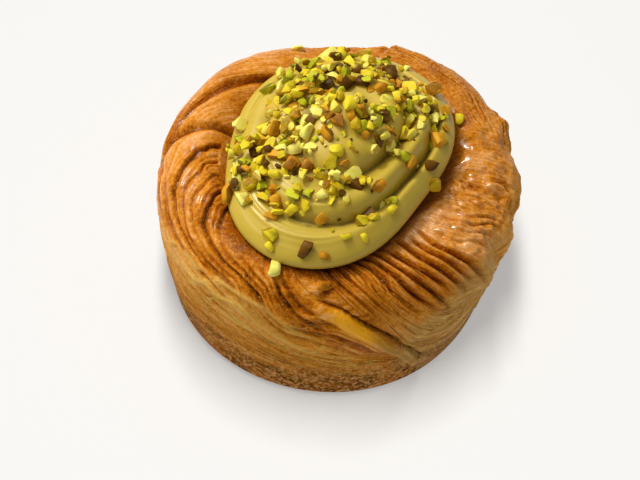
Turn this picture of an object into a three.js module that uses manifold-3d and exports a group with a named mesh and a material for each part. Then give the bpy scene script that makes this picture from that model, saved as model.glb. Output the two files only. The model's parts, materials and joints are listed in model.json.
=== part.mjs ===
// A cruffin: one strip of laminated dough coiled in a baking ring, filled with a piped swirl of pistachio
// cream and strewn with chopped pistachios. Millimetres, +Z up. The origin is on the coil's axis at the base.
// Angles are degrees, counter-clockwise from +X as seen from above, so 270 is the front.
// A place on the dough is an angle and a reach: millimetres along its skin from the top of the rim,
// negative down into the hollow and positive over the shoulder and down the wall.
import * as THREE from "three";
import { mergeVertices } from "three/addons/utils/BufferGeometryUtils.js";
import Module from "manifold-3d";

const wasm = await Module();
wasm.setup();

// The dough's body. A sway is a slow lean of a size towards one side, a dent sinks in about one angle, and the
// shelf is where the rim stays level further in, up to the cream.
const RING_RADIUS = 48.4;
const RING_SWAY = { size: 0.4, towards: 165 };
const RIM_RADIUS = 37;
const RIM_HEIGHT = 45;
const RIM_SWAY = { size: 2.8, towards: 132 };
const BACK_DENT = { size: 2.9, at: 89, spread: 26 };
const WIDEST_HEIGHT = 34.3;
const WIDEST_SWAY = { size: 3, towards: 40 };
const WIDEST_DROP = { size: 9, at: 285, spread: 52 };
const FOOT_RADIUS = 45.7;
const FOOT_SWAY = { size: 0.9, towards: 165 };
const FOOT_DENT = { size: 3.6, at: 339, spread: 40 };
const FOOT_CORNER = 3.5;
const FLOOR_HEIGHT = 27;
const FLOOR_RADIUS = 14;
const RIM_SHELF = { size: 9, at: 322, spread: 32 };

// Lengths along the skin from the rim to the hollow's centre, the widest place, the foot, round the foot's
// corner and on to the base's centre. The shoulder is longer where the widest place lies lower.
const HOLLOW_REACH = 40;
const SHOULDER_REACH = 16;
const SHOULDER_GAIN = 0.65;
const FOOT_REACH = 49;
const CORNER_REACH = 5.5;
const BASE_REACH = 42;
const SHOULDER_POWER = 0.92;
const WALL_POWER = 1.2;

// The strip's tail lies over the coil with a step along its upper edge, which runs down to the tip.
const STRIP_TOP = -9;
const STRIP_FOOT = { angle: 235, reach: 14, slope: 0.33 };
const TAIL_START = { angle: 260, reach: 4.5, ease: 16 };
const TAIL_TIP = { angle: 297, reach: 32, ease: 3 };
const TAIL_CURVE = 1.2;
const TAIL_STEP = { height: 3, width: 1.6, fade: 7 };
const SEAM_GROOVE = { depth: 1.6, width: 1.6 };
const SEAM_LEAN = 0.7;

// The ribs: layer edges that cross the rim on the right and fan out of one far point.
const RIBS = { from: 261, to: 352, inner: -11, outer: 16, pitch: 4.4, depth: 1.7, ease: 4 };
const RIB_FAN = { angle: 346, perReach: 0.0142, from: -10, to: 30 };

// A layer's profile: how much crests vary, and how far they lean and round over.
const LAYER = { crest: 0.55, spread: 0.45, skew: 0.78, round: 0.8 };

// The strands: layers that leave the hollow on the left, bend round and run along the strip to its tail,
// the first of them along the strip's outer side.
const STRANDS = { from: 180, to: 250, pitch: 10, depth: 1.8, start: -6, bend: 15, ease: 0.04 };
const STRAND_LEVEL = { first: 179, reach: 10.5, perAngle: -0.09 };

// Creases between the smooth folds at the back and the left, and the lip of the top layer.
const CREASE_RADIUS = 43;
const CREASE_EASE = 4;
const CREASES = [
  { angle: 138, slope: 3.4, from: -6, to: 9, depth: 1.6, width: 1.6, step: 1.2 },
  { angle: 165, slope: 0.6, from: -8, to: 13, depth: 1.2, width: 1.5, step: 0.7 },
  { angle: 435, slope: -0.4, from: -6, to: 14, depth: 0.5, width: 1.2, step: 1.4 },
];
const CREASE_FADE = 11;

// Puffed lobes on the right shoulder.
const LOBES = { from: 316, to: 391, pitch: 15, inner: 6, outer: 24, depth: 2, ease: 7, middle: 0.6 };

// The reach between which the dough shows folds.
const FOLDED = { from: -14, to: 48, ease: 3 };

// The cream's body, its outline in plan and the spiral groove that the nozzle leaves. Shares run from 0 at
// the tip to 1 at the widest edge.
const CREAM_RADIUS = 32.4;
const CREAM_OFFSET = { size: 1.1, towards: 147.5 };
const CREAM_OVAL = { size: 4.3, towards: 66.5 };
const CREAM_CORNERS = { size: 1.33, towards: 13.8 };
const CREAM_EDGE_HEIGHT = 46.6;
const CREAM_EDGE_SWAY = { size: 0.8, towards: 80 };
const CREAM_TIP_HEIGHT = 64;
const CREAM_TIP_LEAN = { x: 3, y: 4 };
const CREAM_PEAK = { height: 1.4, share: 0.12 };
const CREAM_SLOPE = { share: 0.82, power: 1.25 };
const CREAM_EDGE_ROUND = 9;
const CREAM_CURL = { share: 0.3, drop: 5.5, contact: 0.83 };
const CREAM_GAP = 1;
const GROOVE = { start: 0.63, pitch: 0.34, power: 2, depth: 3.6, sharpness: 0.6 };
const GROOVED = { from: 0.18, to: 0.87, ease: 0.07 };
const GROOVE_FADE = { share: 0.5, at: 190 };

// Chopped nuts: thick drifts and a thin scatter on the cream, drawn from a seed with the largest first,
// of which the solid shows the larger ones, and a few that have rolled off onto the dough.
const CHIP_SEED = 20417;
const CHIP_COUNT = 190;
const SOLID_CHIPS = 58;
const CHIP_LENGTH = { largest: 5.4, smallest: 1.3, power: 0.6 };
const CHIP_BREADTH = { least: 0.62, spread: 0.25 };
const CHIP_HEIGHT = { least: 0.5, spread: 0.2 };
const CHIP_TILT = { roll: 0.9, pitch: 0.6 };
const CHIP_DRIFTS = [
  { x: 2, y: 21, along: 14, across: 7, turn: 5, share: 1 },
  { x: 18, y: 15, along: 10, across: 7, turn: -40, share: 1 },
  { x: -8, y: 8, along: 8, across: 9, turn: 0, share: 0.9 },
  { x: 12, y: 3, along: 7, across: 4, turn: 0, share: 0.8 },
  { x: -13, y: -13, along: 10, across: 6, turn: -25, share: 1 },
  { x: 0, y: -17, along: 7, across: 3.5, turn: -5, share: 0.9 },
  { x: -24, y: -6, along: 4, across: 6, turn: 0, share: 0.8 },
];
const CHIP_SCATTER = 0.04;
const CHIP_SPACING = 0.44;
const CHIP_SUNK = 0.3;
const CHIP_EDGE = 0.9;
const DOUGH_CHIPS = [
  { angle: 106, along: 4, length: 3.6, spin: 10, tilt: 0, shape: 0.3 },
  { angle: 244, along: 5.4, length: 4.6, spin: 160, tilt: 0.1, shape: 0.2 },
  { angle: 24, along: 1, length: 3.4, spin: 70, tilt: 0, shape: 0.6 },
];

// Mesh fineness: where the columns begin to lean with the ribs and to stand closer, and the spacing of rows.
const LEAN_START = 193;
const FINE_START = RIBS.from - 8 * RIBS.pitch;
const PLAIN_STEP = 4.2;
const FINE_FOOT = 21;
const FOLD_ROW = 1.5;
const WALL_ROW = 4.2;
const CREAM_COLUMNS = 56;
const CREAM_ROW = 0.06;

const radians = (degrees) => (degrees * Math.PI) / 180;
const turned = (degrees) => ((degrees % 360) + 360) % 360;
const sway = (angle, { size, towards }) => size * Math.cos(radians(angle - towards));
const clamp01 = (x) => Math.min(1, Math.max(0, x));

function smooth(low, high, x) {
  const t = clamp01((x - low) / (high - low));
  return t * t * (3 - 2 * t);
}

// 1 from low to high, easing to 0 over a margin on each side.
const within = (x, low, high, margin) =>
  smooth(low - margin, low + margin, x) * (1 - smooth(high - margin, high + margin, x));

// A repeatable number from 0 to 1 for a whole number.
function scatter(n) {
  const s = Math.sin(n * 127.1 + 11.7) * 43758.5453;
  return s - Math.floor(s);
}

// The angle counted on from the back, so that no fold crosses the place where it starts again.
const UNROLL_START = 100;
const unrolled = (angle) => UNROLL_START + turned(angle - UNROLL_START);

// One layer's height across its width, from 0 in the groove to its own crest and back.
function layer(phase) {
  const index = Math.floor(phase);
  const crest = LAYER.crest + LAYER.spread * scatter(index);
  const across = Math.pow(phase - index, LAYER.skew);
  return crest * Math.pow(Math.sin(Math.PI * across), LAYER.round);
}

// A dent of a size that dies away on both sides of one angle.
function dent(angle, { size, at, spread }) {
  const aside = (turned(angle - at + 180) - 180) / spread;
  return size * Math.exp(-aside * aside);
}

// Radius and height of the plain body, before any folds.
function bodyPoint(angle, reach) {
  const drop = dent(angle, WIDEST_DROP);
  const widest = RING_RADIUS + sway(angle, RING_SWAY) - dent(angle, BACK_DENT);
  const widestHeight = WIDEST_HEIGHT + sway(angle, WIDEST_SWAY) - drop;
  const rim = RIM_HEIGHT + sway(angle, RIM_SWAY) - dent(angle, BACK_DENT);
  const foot = FOOT_RADIUS + sway(angle, FOOT_SWAY) - dent(angle, FOOT_DENT);
  const shoulder = SHOULDER_REACH + SHOULDER_GAIN * drop;
  if (reach < 0) {
    const r = RIM_RADIUS * clamp01(1 + reach / HOLLOW_REACH);
    const shelf = RIM_RADIUS - dent(angle, RIM_SHELF);
    return { r, z: FLOOR_HEIGHT + (rim - FLOOR_HEIGHT) * smooth(FLOOR_RADIUS, shelf, r) };
  }
  if (reach < shoulder) {
    const a = ((reach / shoulder) * Math.PI) / 2;
    return {
      r: RIM_RADIUS + (widest - RIM_RADIUS) * Math.pow(Math.sin(a), SHOULDER_POWER),
      z: widestHeight + (rim - widestHeight) * Math.pow(Math.cos(a), SHOULDER_POWER),
    };
  }
  if (reach < FOOT_REACH) {
    const down = (reach - shoulder) / (FOOT_REACH - shoulder);
    return {
      r: widest - (widest - foot) * Math.pow(down, WALL_POWER),
      z: widestHeight + (FOOT_CORNER - widestHeight) * down,
    };
  }
  if (reach < FOOT_REACH + CORNER_REACH) {
    const a = (((reach - FOOT_REACH) / CORNER_REACH) * Math.PI) / 2;
    return { r: foot - FOOT_CORNER * (1 - Math.cos(a)), z: FOOT_CORNER * (1 - Math.sin(a)) };
  }
  const inwards = clamp01((reach - FOOT_REACH - CORNER_REACH) / BASE_REACH);
  return { r: (foot - FOOT_CORNER) * (1 - inwards), z: 0 };
}

// The reach of the strip's upper edge: deep in the hollow on the left, and the tail's edge on the right.
function stripTop(a) {
  const rise = smooth(TAIL_START.angle - TAIL_START.ease, TAIL_START.angle, a);
  const along = clamp01((a - TAIL_START.angle) / (TAIL_TIP.angle - TAIL_START.angle));
  const down = (TAIL_TIP.reach - TAIL_START.reach) * Math.pow(along, TAIL_CURVE);
  return STRIP_TOP + (TAIL_START.reach - STRIP_TOP) * rise + down;
}

// How far a place lies below the tail's edge, square to it; negative on the ribbed side.
const belowSeam = (a, reach) => (reach - stripTop(a)) * SEAM_LEAN;

function seamRelief(a, reach) {
  const d = belowSeam(a, reach);
  const shown = within(a, TAIL_START.angle - TAIL_START.ease / 4, TAIL_TIP.angle, TAIL_TIP.ease);
  const step = TAIL_STEP.height * smooth(0, TAIL_STEP.width, d) * Math.exp(-Math.max(d, 0) / TAIL_STEP.fade);
  const groove = SEAM_GROOVE.depth * Math.exp(-Math.abs(d) / SEAM_GROOVE.width) * (1 - smooth(0, 1, d));
  return shown * (step - groove);
}

// How far along the way to the fan's far point a rib has leaned.
const ribLean = (reach) => RIB_FAN.perReach * Math.min(RIB_FAN.to, Math.max(RIB_FAN.from, reach));

function ribRelief(a, reach) {
  const lean = ribLean(reach);
  const start = (a - lean * RIB_FAN.angle) / (1 - lean);
  const shown =
    within(start, RIBS.from, RIBS.to, RIBS.ease) *
    within(reach, RIBS.inner, RIBS.outer, RIBS.ease) *
    (a < TAIL_TIP.angle ? 1 - smooth(-0.6, 0.6, belowSeam(a, reach)) : 1);
  return shown > 0 ? shown * RIBS.depth * (layer((start - RIBS.from) / RIBS.pitch) - 0.5) : 0;
}

// The reach at an angle of the strand that left the hollow at another angle.
function strandReach(a, left) {
  const level = STRAND_LEVEL.reach + STRAND_LEVEL.perAngle * (left - STRAND_LEVEL.first);
  return level - (level - STRANDS.start) * Math.exp((left - a) / STRANDS.bend);
}

// The angle at which the strand through a place left the hollow, found by halving.
function strandThrough(a, reach) {
  let low = STRANDS.from - 4 * STRANDS.pitch;
  let high = STRANDS.to + 4 * STRANDS.pitch;
  for (let i = 0; i < 16; i += 1) {
    const middle = (low + high) / 2;
    if (strandReach(a, middle) > reach) low = middle;
    else high = middle;
  }
  return low;
}

// The strip narrows towards its tail, so a place's share of the width decides which strand it is on.
function strandRelief(a, reach) {
  const top = stripTop(a);
  const foot = STRIP_FOOT.reach + STRIP_FOOT.slope * Math.max(0, a - STRIP_FOOT.angle);
  const up = (foot - reach) / Math.max(1, foot - top);
  const level = STRIP_FOOT.reach - up * (STRIP_FOOT.reach - STRIP_TOP);
  const left = strandThrough(Math.min(a, STRANDS.to), level);
  const shown =
    within(left, STRANDS.from, STRANDS.to, STRANDS.pitch / 2) *
    within(up, 0, 1, STRANDS.ease) *
    (1 - smooth(TAIL_TIP.angle - STRANDS.pitch, TAIL_TIP.angle, a));
  return shown > 0 ? shown * STRANDS.depth * (layer(left / STRANDS.pitch) - 0.5) : 0;
}

function creaseRelief(a, reach) {
  let relief = 0;
  for (const c of CREASES) {
    const aside = (a - c.angle - c.slope * reach) * radians(CREASE_RADIUS);
    const d = aside / Math.hypot(1, c.slope * radians(CREASE_RADIUS));
    const groove = c.depth * Math.exp(-((d / c.width) ** 2));
    const step = d < 0 ? c.step * smooth(0, c.width, -d) * Math.exp(d / CREASE_FADE) : 0;
    relief += within(reach, c.from, c.to, CREASE_EASE) * (step - groove);
  }
  return relief;
}

function lobeRelief(a, reach) {
  const round = within(a, LOBES.from, LOBES.to, LOBES.ease);
  const shown = round * within(reach, LOBES.inner, LOBES.outer, LOBES.ease);
  const wave = Math.abs(Math.sin((Math.PI * (a - LOBES.from)) / LOBES.pitch));
  return shown * LOBES.depth * (wave - LOBES.middle);
}

// All the folds together; the base and the hollow's floor stay plain.
function doughRelief(angle, reach) {
  const a = unrolled(angle);
  const folds =
    seamRelief(a, reach) +
    ribRelief(a, reach) +
    strandRelief(a, reach) +
    creaseRelief(a, reach) +
    lobeRelief(a, reach);
  return folds * within(reach, FOLDED.from, FOLDED.to, FOLDED.ease);
}

// A point of the dough's skin: the plain body pushed out along its own slope by the folds.
function doughPoint(angle, reach) {
  const here = bodyPoint(angle, reach);
  const nudge = 0.05;
  const before = bodyPoint(angle, reach - nudge);
  const after = bodyPoint(angle, reach + nudge);
  const slope = Math.atan2(after.z - before.z, after.r - before.r) + Math.PI / 2;
  const out = doughRelief(angle, reach);
  const r = here.r + out * Math.cos(slope);
  return [r * Math.cos(radians(angle)), r * Math.sin(radians(angle)), here.z + out * Math.sin(slope)];
}

// Rows of reach from the base's centre up over the rim to the middle of the hollow.
function doughRows() {
  const edge = FOOT_REACH + CORNER_REACH;
  const rows = [edge + BASE_REACH, edge + BASE_REACH * 0.4, edge, FOOT_REACH + CORNER_REACH / 2, FOOT_REACH];
  for (let reach = FOOT_REACH - WALL_ROW; reach > FINE_FOOT; reach -= WALL_ROW) rows.push(reach);
  for (let reach = FINE_FOOT; reach > FOLDED.from; reach -= FOLD_ROW) rows.push(reach);
  return [...rows, -14, -19, HOLLOW_REACH * (FLOOR_RADIUS / RIM_RADIUS - 1), -HOLLOW_REACH];
}

// Angles at which the columns cross the rim: two to each rib and as close by the seam, wider apart elsewhere.
function doughColumns() {
  const fineStep = RIBS.pitch / 2;
  const fine = Math.round((RIB_FAN.angle - FINE_START) / fineStep);
  const plainStart = FINE_START + fine * fineStep;
  const plain = Math.round((FINE_START + 360 - plainStart) / PLAIN_STEP);
  const plainStep = (FINE_START + 360 - plainStart) / plain;
  return [
    ...Array.from({ length: fine }, (_, i) => FINE_START + i * fineStep),
    ...Array.from({ length: plain + 1 }, (_, i) => plainStart + i * plainStep),
  ];
}

// The angle that a column has reached at a place along it. Columns lean with the ribs and the seam, and the
// lean dies away to either side of them.
function leaningAngle(column, reach) {
  const start = unrolled(column);
  const pull = RIB_FAN.angle - RIBS.from;
  const rising = (pull * (start - LEAN_START)) / (RIBS.from - LEAN_START);
  return start + ribLean(reach) * Math.max(0, Math.min(rising, RIB_FAN.angle - start));
}

// A lathe's grid of faces with each vertex put where place(column angle, row) says, first and last row on
// the axis. The rows run up the outside, so that the faces point out.
function skin(angles, rows, place) {
  const rail = rows.map((_, j) => new THREE.Vector2(j === 0 || j === rows.length - 1 ? 0 : 1, j));
  const geometry = new THREE.LatheGeometry(rail, angles.length - 1);
  const position = geometry.getAttribute("position");
  angles.forEach((angle, i) =>
    rows.forEach((row, j) => {
      const column = i === angles.length - 1 ? angles[0] : angle;
      position.setXYZ(i * rows.length + j, ...place(column, row));
    }),
  );
  return geometry;
}

function solidOf(geometry) {
  const bare = geometry.clone();
  bare.deleteAttribute("normal");
  bare.deleteAttribute("uv");
  const merged = mergeVertices(bare, 1e-4);
  const vertProperties = merged.getAttribute("position").array;
  return new wasm.Manifold(new wasm.Mesh({ numProp: 3, vertProperties, triVerts: merged.index.array }));
}

function geometryOf(solid) {
  const mesh = solid.getMesh();
  const geometry = new THREE.BufferGeometry();
  geometry.setAttribute("position", new THREE.BufferAttribute(mesh.vertProperties, 3));
  geometry.setIndex(new THREE.BufferAttribute(mesh.triVerts, 1));
  geometry.computeVertexNormals();
  return geometry;
}

// The cream's outline in plan.
function creamReach(angle) {
  const oval = CREAM_OVAL.size * Math.cos(2 * radians(angle - CREAM_OVAL.towards));
  const corners = CREAM_CORNERS.size * Math.cos(3 * radians(angle - CREAM_CORNERS.towards));
  return CREAM_RADIUS + sway(angle, CREAM_OFFSET) + oval + corners;
}

// How deep the spiral groove cuts at a share of the way out.
function grooveDepth(angle, share) {
  const phase = (Math.pow(share, GROOVE.power) - GROOVE.start) / GROOVE.pitch - turned(angle) / 360;
  const valley = 1 - Math.pow(Math.abs(Math.sin(Math.PI * phase)), GROOVE.sharpness);
  const fading = 1 - GROOVE_FADE.share * Math.cos(radians(angle - GROOVE_FADE.at) / 2) ** 2;
  return GROOVE.depth * valley * fading * within(share, GROOVED.from, GROOVED.to, GROOVED.ease);
}

// Height of the dome, a blunt cone with a rounded edge and a small peak.
function domeHeight(angle, share) {
  const edge = CREAM_EDGE_HEIGHT + sway(angle, CREAM_EDGE_SWAY);
  const cone = 1 - CREAM_SLOPE.share * Math.pow(share, CREAM_SLOPE.power);
  const round = Math.sqrt(Math.max(0, 1 - Math.pow(share, CREAM_EDGE_ROUND)));
  const peak = CREAM_PEAK.height * Math.exp(-((share / CREAM_PEAK.share) ** 2));
  return CREAM_TIP_HEIGHT - (CREAM_TIP_HEIGHT - edge) * (1 - cone * round) + peak;
}

function creamTop(angle, share) {
  const lean = (1 - share) ** 2;
  const r = creamReach(angle) * share;
  return [
    r * Math.cos(radians(angle)) + CREAM_TIP_LEAN.x * lean,
    r * Math.sin(radians(angle)) + CREAM_TIP_LEAN.y * lean,
    domeHeight(angle, share) - grooveDepth(angle, share),
  ];
}

// The highest that the hollow's skin stands near a point, which the cream's underside stays clear of.
function hollowHeight(x, y) {
  const angle = (Math.atan2(y, x) * 180) / Math.PI;
  const reach = Math.min(0, HOLLOW_REACH * (Math.hypot(x, y) / RIM_RADIUS - 1));
  const near = [-6, -4, -2, 0, 2, 4, 6].map((aside) => doughRelief(angle + aside, reach));
  return bodyPoint(angle, reach).z + Math.max(0, ...near);
}

// The cream's whole skin: from share 1 to 2 it curls under its edge, follows the hollow just clear of it, and
// ends below the tip.
function creamPoint(angle, share) {
  if (share <= 1) return creamTop(angle, share);
  const curled = clamp01((share - 1) / CREAM_CURL.share);
  const inwards = clamp01((share - 1 - CREAM_CURL.share) / (1 - CREAM_CURL.share));
  const inset = (1 - (1 - CREAM_CURL.contact) * smooth(0, 1, curled)) * (1 - inwards);
  const x = creamReach(angle) * inset * Math.cos(radians(angle));
  const y = creamReach(angle) * inset * Math.sin(radians(angle));
  const edge = CREAM_EDGE_HEIGHT + sway(angle, CREAM_EDGE_SWAY);
  const underEdge = curled < 1 ? edge - CREAM_CURL.drop * Math.sin((Math.PI / 2) * curled) : 0;
  return [x, y, Math.max(underEdge, hollowHeight(x, y) + CREAM_GAP)];
}

// Rows from below the tip outwards, round the edge and up to the tip.
function creamRows() {
  const rows = [2, 1.64, 1.45, 1.3, 1.2, 1.1, 1, 0.98, 0.95];
  for (let share = 0.9; share > 2 * CREAM_ROW; share -= CREAM_ROW) rows.push(share);
  return [...rows, 0];
}

// A seeded row of numbers from 0 to 1.
function drawer(seed) {
  let state = seed;
  return () => {
    state = (state * 16807) % 2147483647;
    return state / 2147483647;
  };
}

function chipDensity(x, y) {
  const drifts = CHIP_DRIFTS.map((d) => {
    const c = Math.cos(radians(d.turn));
    const s = Math.sin(radians(d.turn));
    const along = ((x - d.x) * c + (y - d.y) * s) / d.along;
    const across = (-(x - d.x) * s + (y - d.y) * c) / d.across;
    return d.share * Math.exp(-(along * along + across * across));
  });
  return Math.min(1, CHIP_SCATTER + drifts.reduce((sum, d) => sum + d, 0));
}

// Places for the chips on the cream, largest first, none on top of another.
function strewnChips() {
  const draw = drawer(CHIP_SEED);
  const chips = [];
  while (chips.length < CHIP_COUNT) {
    const angle = 360 * draw();
    const along = CHIP_EDGE * Math.sqrt(draw());
    const chance = draw();
    const [x, y, z] = creamTop(angle, along);
    if (chance > chipDensity(x, y)) continue;
    const small = (chips.length / CHIP_COUNT) ** CHIP_LENGTH.power;
    const length = CHIP_LENGTH.largest + (CHIP_LENGTH.smallest - CHIP_LENGTH.largest) * small;
    const apart = (chip) => Math.hypot(chip.x - x, chip.y - y, chip.z - z);
    if (chips.some((chip) => apart(chip) < CHIP_SPACING * (chip.length + length))) continue;
    chips.push({ x, y, z, angle, along, length, spin: 360 * draw(), tilt: draw() - 0.5, shape: draw() });
  }
  return chips;
}

// The way that a skin faces at a place on it.
function facing(place, angle, along) {
  const at = (a, t) => new THREE.Vector3(...place(a, t));
  const across = at(angle + 2, along).sub(at(angle - 2, along));
  const down = at(angle, along + 0.02).sub(at(angle, along - 0.02));
  return down.cross(across).normalize();
}

// An angular crumb of nut, longer than it is wide, lying on a skin and a little sunk into it.
function chipSolid(chip, place) {
  const half = chip.length / 2;
  const breadth = CHIP_BREADTH.least + CHIP_BREADTH.spread * chip.shape;
  const height = CHIP_HEIGHT.least + CHIP_HEIGHT.spread * chip.shape;
  const size = new THREE.Vector3(half, half * breadth, half * height);
  const normal = facing(place, chip.angle, chip.along);
  const stand = new THREE.Quaternion().setFromUnitVectors(new THREE.Vector3(0, 0, 1), normal);
  const roll = CHIP_TILT.roll * chip.tilt;
  const pitch = CHIP_TILT.pitch * (chip.shape - 0.5);
  const spin = new THREE.Quaternion().setFromEuler(new THREE.Euler(roll, pitch, radians(chip.spin)));
  const centre = new THREE.Vector3(...place(chip.angle, chip.along));
  centre.addScaledVector(normal, size.z * (1 - 2 * CHIP_SUNK));
  const geometry = new THREE.IcosahedronGeometry(1, 0);
  geometry.applyMatrix4(new THREE.Matrix4().compose(centre, stand.multiply(spin), size));
  return solidOf(geometry);
}

function topped(solid, chips, place) {
  return chips.reduce((whole, chip) => whole.add(chipSolid(chip, place)), solid);
}

function doughMesh() {
  const place = (column, reach) => doughPoint(leaningAngle(column, reach), reach);
  const coil = solidOf(skin(doughColumns(), doughRows(), place));
  const crust = new THREE.MeshStandardMaterial({ color: 0xb8712f, roughness: 0.5, metalness: 0 });
  const mesh = new THREE.Mesh(geometryOf(topped(coil, DOUGH_CHIPS, doughPoint)), crust);
  mesh.name = "pastry";
  return mesh;
}

function creamMesh() {
  const angles = Array.from({ length: CREAM_COLUMNS + 1 }, (_, i) => (360 * i) / CREAM_COLUMNS);
  const swirl = solidOf(skin(angles, creamRows(), creamPoint));
  const chips = strewnChips().slice(0, SOLID_CHIPS);
  const pistachio = new THREE.MeshStandardMaterial({ color: 0xa69a45, roughness: 0.45, metalness: 0 });
  const mesh = new THREE.Mesh(geometryOf(topped(swirl, chips, creamTop)), pistachio);
  mesh.name = "cream";
  return mesh;
}

const cruffin = new THREE.Group();
cruffin.name = "cruffin";
cruffin.add(doughMesh(), creamMesh());

export default cruffin;
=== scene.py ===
# %% [markdown]
# # A cruffin with pistachio cream
#
# A cruffin is one strip of laminated dough, coiled in a baking ring until its layers stand out as ribs
# and strands, filled with piped cream and strewn with chopped pistachios. The solids of the part are
# loaded first and stay the measure of everything: each piece made here takes the place of one of them, in
# the same frame. Blender works in metres, and the sizes below are in millimetres, so `MM` turns one into
# the other.

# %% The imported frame
import json
import math

import bmesh
import bpy
import numpy as np
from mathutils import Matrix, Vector

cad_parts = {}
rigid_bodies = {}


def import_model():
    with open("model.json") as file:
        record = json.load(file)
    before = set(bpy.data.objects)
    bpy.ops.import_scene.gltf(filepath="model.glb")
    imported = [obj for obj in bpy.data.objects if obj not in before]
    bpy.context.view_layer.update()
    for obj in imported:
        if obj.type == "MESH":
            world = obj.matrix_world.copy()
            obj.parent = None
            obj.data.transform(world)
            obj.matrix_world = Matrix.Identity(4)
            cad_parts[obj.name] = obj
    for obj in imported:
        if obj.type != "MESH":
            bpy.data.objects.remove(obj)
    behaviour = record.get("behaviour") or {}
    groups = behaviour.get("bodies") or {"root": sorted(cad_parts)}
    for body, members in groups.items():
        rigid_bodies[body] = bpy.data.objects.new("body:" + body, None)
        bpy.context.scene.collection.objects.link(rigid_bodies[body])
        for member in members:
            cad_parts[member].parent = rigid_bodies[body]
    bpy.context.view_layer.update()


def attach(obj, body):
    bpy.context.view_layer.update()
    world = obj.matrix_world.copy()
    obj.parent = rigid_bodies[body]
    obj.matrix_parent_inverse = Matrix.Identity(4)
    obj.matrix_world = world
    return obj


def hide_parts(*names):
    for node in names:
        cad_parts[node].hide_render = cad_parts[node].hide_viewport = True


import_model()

MM = 0.001

# %% [markdown]
# ## The camera
#
# The pastry is seen from the front at 51 degrees above the table, with a long lens from 60 cm away. A
# lens is set from how many pixels a millimetre takes at the target: sensor width times distance times
# that scale, over the picture's width. The small shift moves the pastry a little right of and above the
# picture's middle.

# %% Camera
PICTURE_WIDTH = 640
SIGHT_ELEVATION = math.radians(51)
SIGHT_DISTANCE = 600
SIGHT_TARGET = Vector((0, 0, 25 * MM))
PIXELS_PER_MM = 3.68
PIXELS_RIGHT, PIXELS_UP = 19, 33


def add_object(name, data):
    """A new object of the scene."""
    thing = bpy.data.objects.new(name, data)
    bpy.context.scene.collection.objects.link(thing)
    return thing


def set_facing(thing, place, direction):
    """Puts a camera or a lamp at a place, looking in a direction."""
    thing.location = place
    thing.rotation_mode = "QUATERNION"
    thing.rotation_quaternion = direction.to_track_quat("-Z", "Y")


towards_camera = Vector((0, -math.cos(SIGHT_ELEVATION), math.sin(SIGHT_ELEVATION)))
camera_data = bpy.data.cameras.new("camera")
camera_data.lens = camera_data.sensor_width * SIGHT_DISTANCE * PIXELS_PER_MM / PICTURE_WIDTH
camera_data.shift_x = -PIXELS_RIGHT / PICTURE_WIDTH
camera_data.shift_y = -PIXELS_UP / PICTURE_WIDTH
camera = add_object("camera", camera_data)
set_facing(camera, SIGHT_TARGET + towards_camera * SIGHT_DISTANCE * MM, -towards_camera)
bpy.context.scene.camera = camera
print("lens", round(camera_data.lens, 1), "mm")

# %% [markdown]
# ## Floor and light
#
# Pastry is photographed on a white sweep in broad soft light, so that its gloss shows as small bright
# patches and its shadow stays close to its foot. A large lamp above and behind on the left gives the
# form, a small one beside it gives the glints, and an even pale sky fills the shadows. A long narrow
# panel overhead lights the floor only: light from straight above leaves a shadow that is dark at the foot
# and gone a finger's breadth away. Light linking says which lamp reaches what: a collection that a lamp
# names holds the pieces it lights, or the ones that it leaves out.

# %% Lamps and sky
SKY_TINT = (1.0, 0.99, 0.97, 1)
SKY_STRENGTH = 0.27
LAMPS = (
    # name, place, aimed at, width, length, power, tint
    ("key lamp", (-0.56, 0.28, 0.92), SIGHT_TARGET, 1.10, 1.10, 10.0, (1.0, 0.98, 0.94)),
    ("glint lamp", (-0.42, 0.40, 0.90), SIGHT_TARGET, 0.16, 0.16, 5.0, (1.0, 0.99, 0.97)),
    ("floor panel", (-0.03, 0.0, 0.80), (-0.03, 0.0, 0.0), 0.10, 0.66, 11.3, (1.0, 0.99, 0.97)),
)


def add_lamp(name, place, aim, width, length, power, tint):
    """An area lamp at a place, turned towards what it is aimed at."""
    data = bpy.data.lights.new(name, "AREA")
    data.shape = "RECTANGLE"
    data.size, data.size_y = width, length
    data.energy = power
    data.color = tint
    lamp = add_object(name, data)
    set_facing(lamp, place, Vector(aim) - Vector(place))
    return lamp


def set_inputs(node, values):
    """Sets inputs of a node by their names."""
    for input_name, value in values.items():
        node.inputs[input_name].default_value = value


lamps = [add_lamp(*lamp_facts) for lamp_facts in LAMPS]
world = bpy.data.worlds.new("sky")
world.use_nodes = True
set_inputs(world.node_tree.nodes["Background"], {"Color": SKY_TINT, "Strength": SKY_STRENGTH})
bpy.context.scene.world = world
bpy.context.scene.view_settings.view_transform = "Standard"
print("lamps:", {lamp.name: round(lamp.data.energy, 1) for lamp in lamps})

# %% Floor
FLOOR_SIZE = 4.0
FLOOR_TINT = (0.3, 0.297, 0.291, 1)
FLOOR_ROUGHNESS, FLOOR_GLOW = 0.9, 0.38
FLOOR_LAMP = "floor panel"

half = FLOOR_SIZE / 2
floor_mesh = bpy.data.meshes.new("floor")
floor_mesh.from_pydata(
    [(-half, -half, 0), (half, -half, 0), (half, half, 0), (-half, half, 0)], [], [(0, 1, 2, 3)]
)
floor_paint = bpy.data.materials.new("floor paint")
floor_paint.use_nodes = True
set_inputs(floor_paint.node_tree.nodes["Principled BSDF"], {
    "Base Color": FLOOR_TINT,
    "Roughness": FLOOR_ROUGHNESS,
    "Emission Color": SKY_TINT,
    "Emission Strength": FLOOR_GLOW,
})
floor_mesh.materials.append(floor_paint)
floor = add_object("floor", floor_mesh)

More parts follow.
